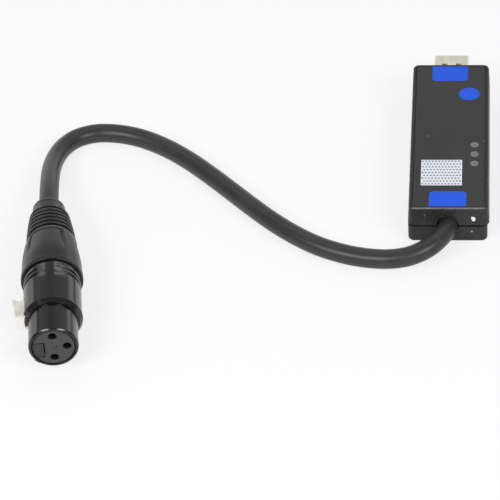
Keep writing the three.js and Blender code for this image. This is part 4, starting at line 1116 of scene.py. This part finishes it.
def swelling_nut():
    """The boot nut: a plain ring in front, a swelling body and a rounded rear rim."""
    nut_rear = NUT_FRONT + NUT_LENGTH
    ring_end = NUT_FRONT + NUT_RING
    first = (NUT_RING + NUT_RING_STEP) / NUT_LENGTH
    inner = nut_radius(first)
    outline = rounded_path([
        (NUT_BORE, NUT_FRONT, 0), (NUT_RADIUS, NUT_FRONT, 0.3), (NUT_RADIUS, ring_end, NUT_RING_EDGE),
        (inner, ring_end + NUT_RING_EDGE, 0.1), (inner, ring_end + NUT_RING_STEP, 0),
    ], 4)
    for i in range(1, NUT_STEPS):
        share = first + (1 - first - NUT_REAR_SHARE) * i / NUT_STEPS
        outline.append((nut_radius(share), NUT_FRONT + NUT_LENGTH * share))
    outline += rounded_end(NUT_REAR_RADIUS, nut_rear, NUT_REAR_EDGE)
    outline += [(NUT_THROAT, nut_rear), (NUT_THROAT, CONE_END), (NUT_BORE, CONE_START)]
    nut = raw_object("swelling_nut", lathe(outline, even_angles(360), grip_panels), IN_MM)
    finish(nut, "nut_plastic", ["boot_nut"])


RELIEF_FRONT = NUT_FRONT + NUT_LENGTH + PLAY
RELIEF_RADIUS = 8.1
RELIEF_END_RADIUS = 6.85
RELIEF_TAPER = 1.35
RIB_START = RELIEF_FRONT + 0.65
RIBS = 5
RIB_PITCH = 2.07
RIB_WIDTH = 1.07
RIB_DEPTH = 1.15
RIB_LEAN = 0.08
RIB_END = RIB_START + RIBS * RIB_PITCH
LAST_RIB = 0.6
SHOULDER = {"start": 6, "end": 5.5, "length": 4.6}
SLEEVE = {"radius": 5.4, "length": 1.1, "round": 1.5}
LEAN = {"start": 50, "slope": 0.03}
CABLE_BORE = CABLE_RADIUS / MM + PLAY
NECK_LENGTH = 4.2
FLANGE = 7


def rib_radius(station):
    share = max(0, (station - RIB_START) / (RIB_END - RIB_START))
    return RELIEF_RADIUS + (RELIEF_END_RADIUS - RELIEF_RADIUS) * share ** RELIEF_TAPER


def ribbed_relief():
    """The bend relief: a neck in the nut, tapering ribs, a shoulder and a sleeve that leans."""
    neck_front = RELIEF_FRONT - NECK_LENGTH
    neck = NUT_THROAT - PLAY
    corners = [
        (CABLE_BORE, neck_front, 0.1), (neck, neck_front, 0.1), (neck, RELIEF_FRONT, 0.05),
        (FLANGE, RELIEF_FRONT, 0.05), (FLANGE, RIB_START, 0.1),
    ]
    for i in range(RIBS):
        start = RIB_START + i * RIB_PITCH
        end = start + RIB_WIDTH
        floor = rib_radius(end) - RIB_DEPTH
        corners += [
            (rib_radius(start), start, 0.25), (rib_radius(end), end, 0.25),
            (floor, end + RIB_LEAN, 0.2), (floor, start + RIB_PITCH - RIB_LEAN, 0.2),
        ]
    shoulder_end = RIB_END + SHOULDER["length"]
    sleeve_end = shoulder_end + SLEEVE["length"] + SLEEVE["round"]
    corners += [
        (RELIEF_END_RADIUS, RIB_END, 0.2), (RELIEF_END_RADIUS - 0.05, RIB_END + LAST_RIB, 0.2),
        (SHOULDER["start"], RIB_END + LAST_RIB + 0.4, 0.2), (SHOULDER["end"], shoulder_end, 0.6),
        (SLEEVE["radius"], sleeve_end, SLEEVE["round"]), (CABLE_BORE, sleeve_end, 0.1),
    ]
    bm = lathe(rounded_path(corners, 6), even_angles(TURN_STEPS))
    for vert in bm.verts:
        vert.co.x -= LEAN["slope"] * max(0, vert.co.y - LEAN["start"])
    relief = raw_object("ribbed_relief", bm, IN_MM)
    finish(relief, "soft_black", ["bend_relief"])


# Latch spring, in metres like its box

SPRING_RADIUS = 1.58 * MM
SPRING_WIRE = 0.22 * MM
SPRING_TURNS = 6
SPRING_STATION = 17.2 * MM
TURN_POINTS = 24
WIRE_POINTS = 10
END_COILS = 0.4


def press_spring():
    """The coil under the latch's tab. The real coil shortens as the tab is pressed; this one keeps one
    length.
    """
    low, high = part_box("latch_spring")
    middle = (CONNECTOR.inverted() @ ((low + high) / 2)).x
    outer = SPRING_RADIUS + SPRING_WIRE
    half = ((high.x - low.x) / 2 - outer * math.sin(CONNECTOR_TURN)) / math.cos(CONNECTOR_TURN) - SPRING_WIRE
    count = SPRING_TURNS * TURN_POINTS
    rings = []
    for i in range(count + 1):
        share = smooth_step(i / count, 0.02, 0.98) * END_COILS + i / count * (1 - END_COILS)
        angle = 2 * math.pi * i / TURN_POINTS
        centre = Vector((middle + half - 2 * half * share, SPRING_STATION, 0))
        outward = Vector((0, math.cos(angle), math.sin(angle)))
        ring = []
        for around in even_angles(WIRE_POINTS):
            reach = SPRING_RADIUS + SPRING_WIRE * math.cos(around)
            ring.append(centre + outward * reach + Vector((SPRING_WIRE * math.sin(around), 0, 0)))
        rings.append(ring)
    coil = raw_object("press_spring", loft(rings), CONNECTOR)
    finish(coil, "spring_steel", ["latch_spring"], sharp=60)
    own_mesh(coil)


connector_barrel()
insert_block()
swelling_nut()
ribbed_relief()
press_spring()

# CAD nodes in sight get soft edges

SOFT_EDGES = {"latch_lever": 0.14 * MM, "usb_insulator": 0.08 * MM, "circuit_board": 0.05 * MM}


def soften_edges(node, width):
    weld = node.modifiers.new("weld", "WELD")
    weld.merge_threshold = HAIR
    bevel = node.modifiers.new("bevel", "BEVEL")
    bevel.width = width
    bevel.segments = 2
    bevel.limit_method = "ANGLE"
    bevel.angle_limit = math.radians(40)


for name, width in SOFT_EDGES.items():
    soften_edges(frame["nodes"][name], width)

# The pieces at the cord's connector end

CORD_PIECES = [
    "connector_barrel", "insert_block", "latch_lever", "latch_pin", "press_spring", "cable_chuck",
    "swelling_nut", "ribbed_relief",
]
CORD_PIECES += [f"contact_{kind}_{i}" for kind in ("socket", "wire") for i in (1, 2, 3)]

# Floor, light and world

FLOOR_LEVEL = 0.9
FLOOR_ROUGHNESS = 0.8
WHITE = (1, 1, 1, 1)
FLOOR_WHITE_SHARE = 0.75
FLOOR_HALF = 3
FLOOR_DROP = 0.02 * MM
LIGHT_AIM = Vector((-0.05, -0.03, 0))
WORLD_STRENGTH = 0.3


def make_floor():
    """A pale floor that shows nearly white and still takes the object's soft shadow."""
    bm = bmesh.new()
    bmesh.ops.create_grid(bm, x_segments=1, y_segments=1, size=FLOOR_HALF)
    floor = raw_object("floor", bm)
    surface = Surface("floor", grey(FLOOR_LEVEL), FLOOR_ROUGHNESS, specular=0.0)
    glow = surface.node("ShaderNodeEmission")
    glow.inputs["Color"].default_value = WHITE
    path = surface.node("ShaderNodeLightPath")
    seen = path.outputs["Is Camera Ray"]
    for name in ("Is Glossy Ray", "Is Transmission Ray"):
        seen = surface.maths("MAXIMUM", seen, path.outputs[name])
    mix = surface.node("ShaderNodeMixShader")
    surface.link(surface.maths("MULTIPLY", seen, FLOOR_WHITE_SHARE), mix.inputs["Fac"])
    surface.link(surface.shader.outputs["BSDF"], mix.inputs[1])
    surface.link(glow.outputs["Emission"], mix.inputs[2])
    surface.link(mix.outputs["Shader"], surface.tree.nodes["Material Output"].inputs["Surface"])
    floor.data.materials.append(surface.material)
    floor.location.z = -FLOOR_DROP


def area_light(name, place, size, power):
    """A rectangular lamp that looks at the object."""
    data = bpy.data.lights.new(name, "AREA")
    data.shape = "RECTANGLE"
    data.size, data.size_y = size
    data.energy = power
    lamp = bpy.data.objects.new(name, data)
    scene.collection.objects.link(lamp)
    lamp.location = place
    lamp.rotation_euler = (LIGHT_AIM - Vector(place)).to_track_quat("-Z", "Y").to_euler()


def make_world():
    world = bpy.data.worlds.new("world")
    world.use_nodes = True
    background = world.node_tree.nodes["Background"]
    background.inputs["Color"].default_value = WHITE
    background.inputs["Strength"].default_value = WORLD_STRENGTH
    scene.world = world


make_floor()
make_world()
area_light("low_back_panel", (-0.06, 1.3, 0.165), (4.4, 0.33), 4.8)
area_light("high_back_panel", (-0.06, 1.3, 0.73), (3.0, 0.76), 2.3)
area_light("top_softbox", (-0.06, 0.42, 0.95), (1.4, 0.45), 1.9)
area_light("left_softbox", (-0.53, -0.69, 0.66), (0.62, 0.28), 5.6)
area_light("right_softbox", (0.56, -0.7, 0.71), (0.62, 0.28), 5.6)
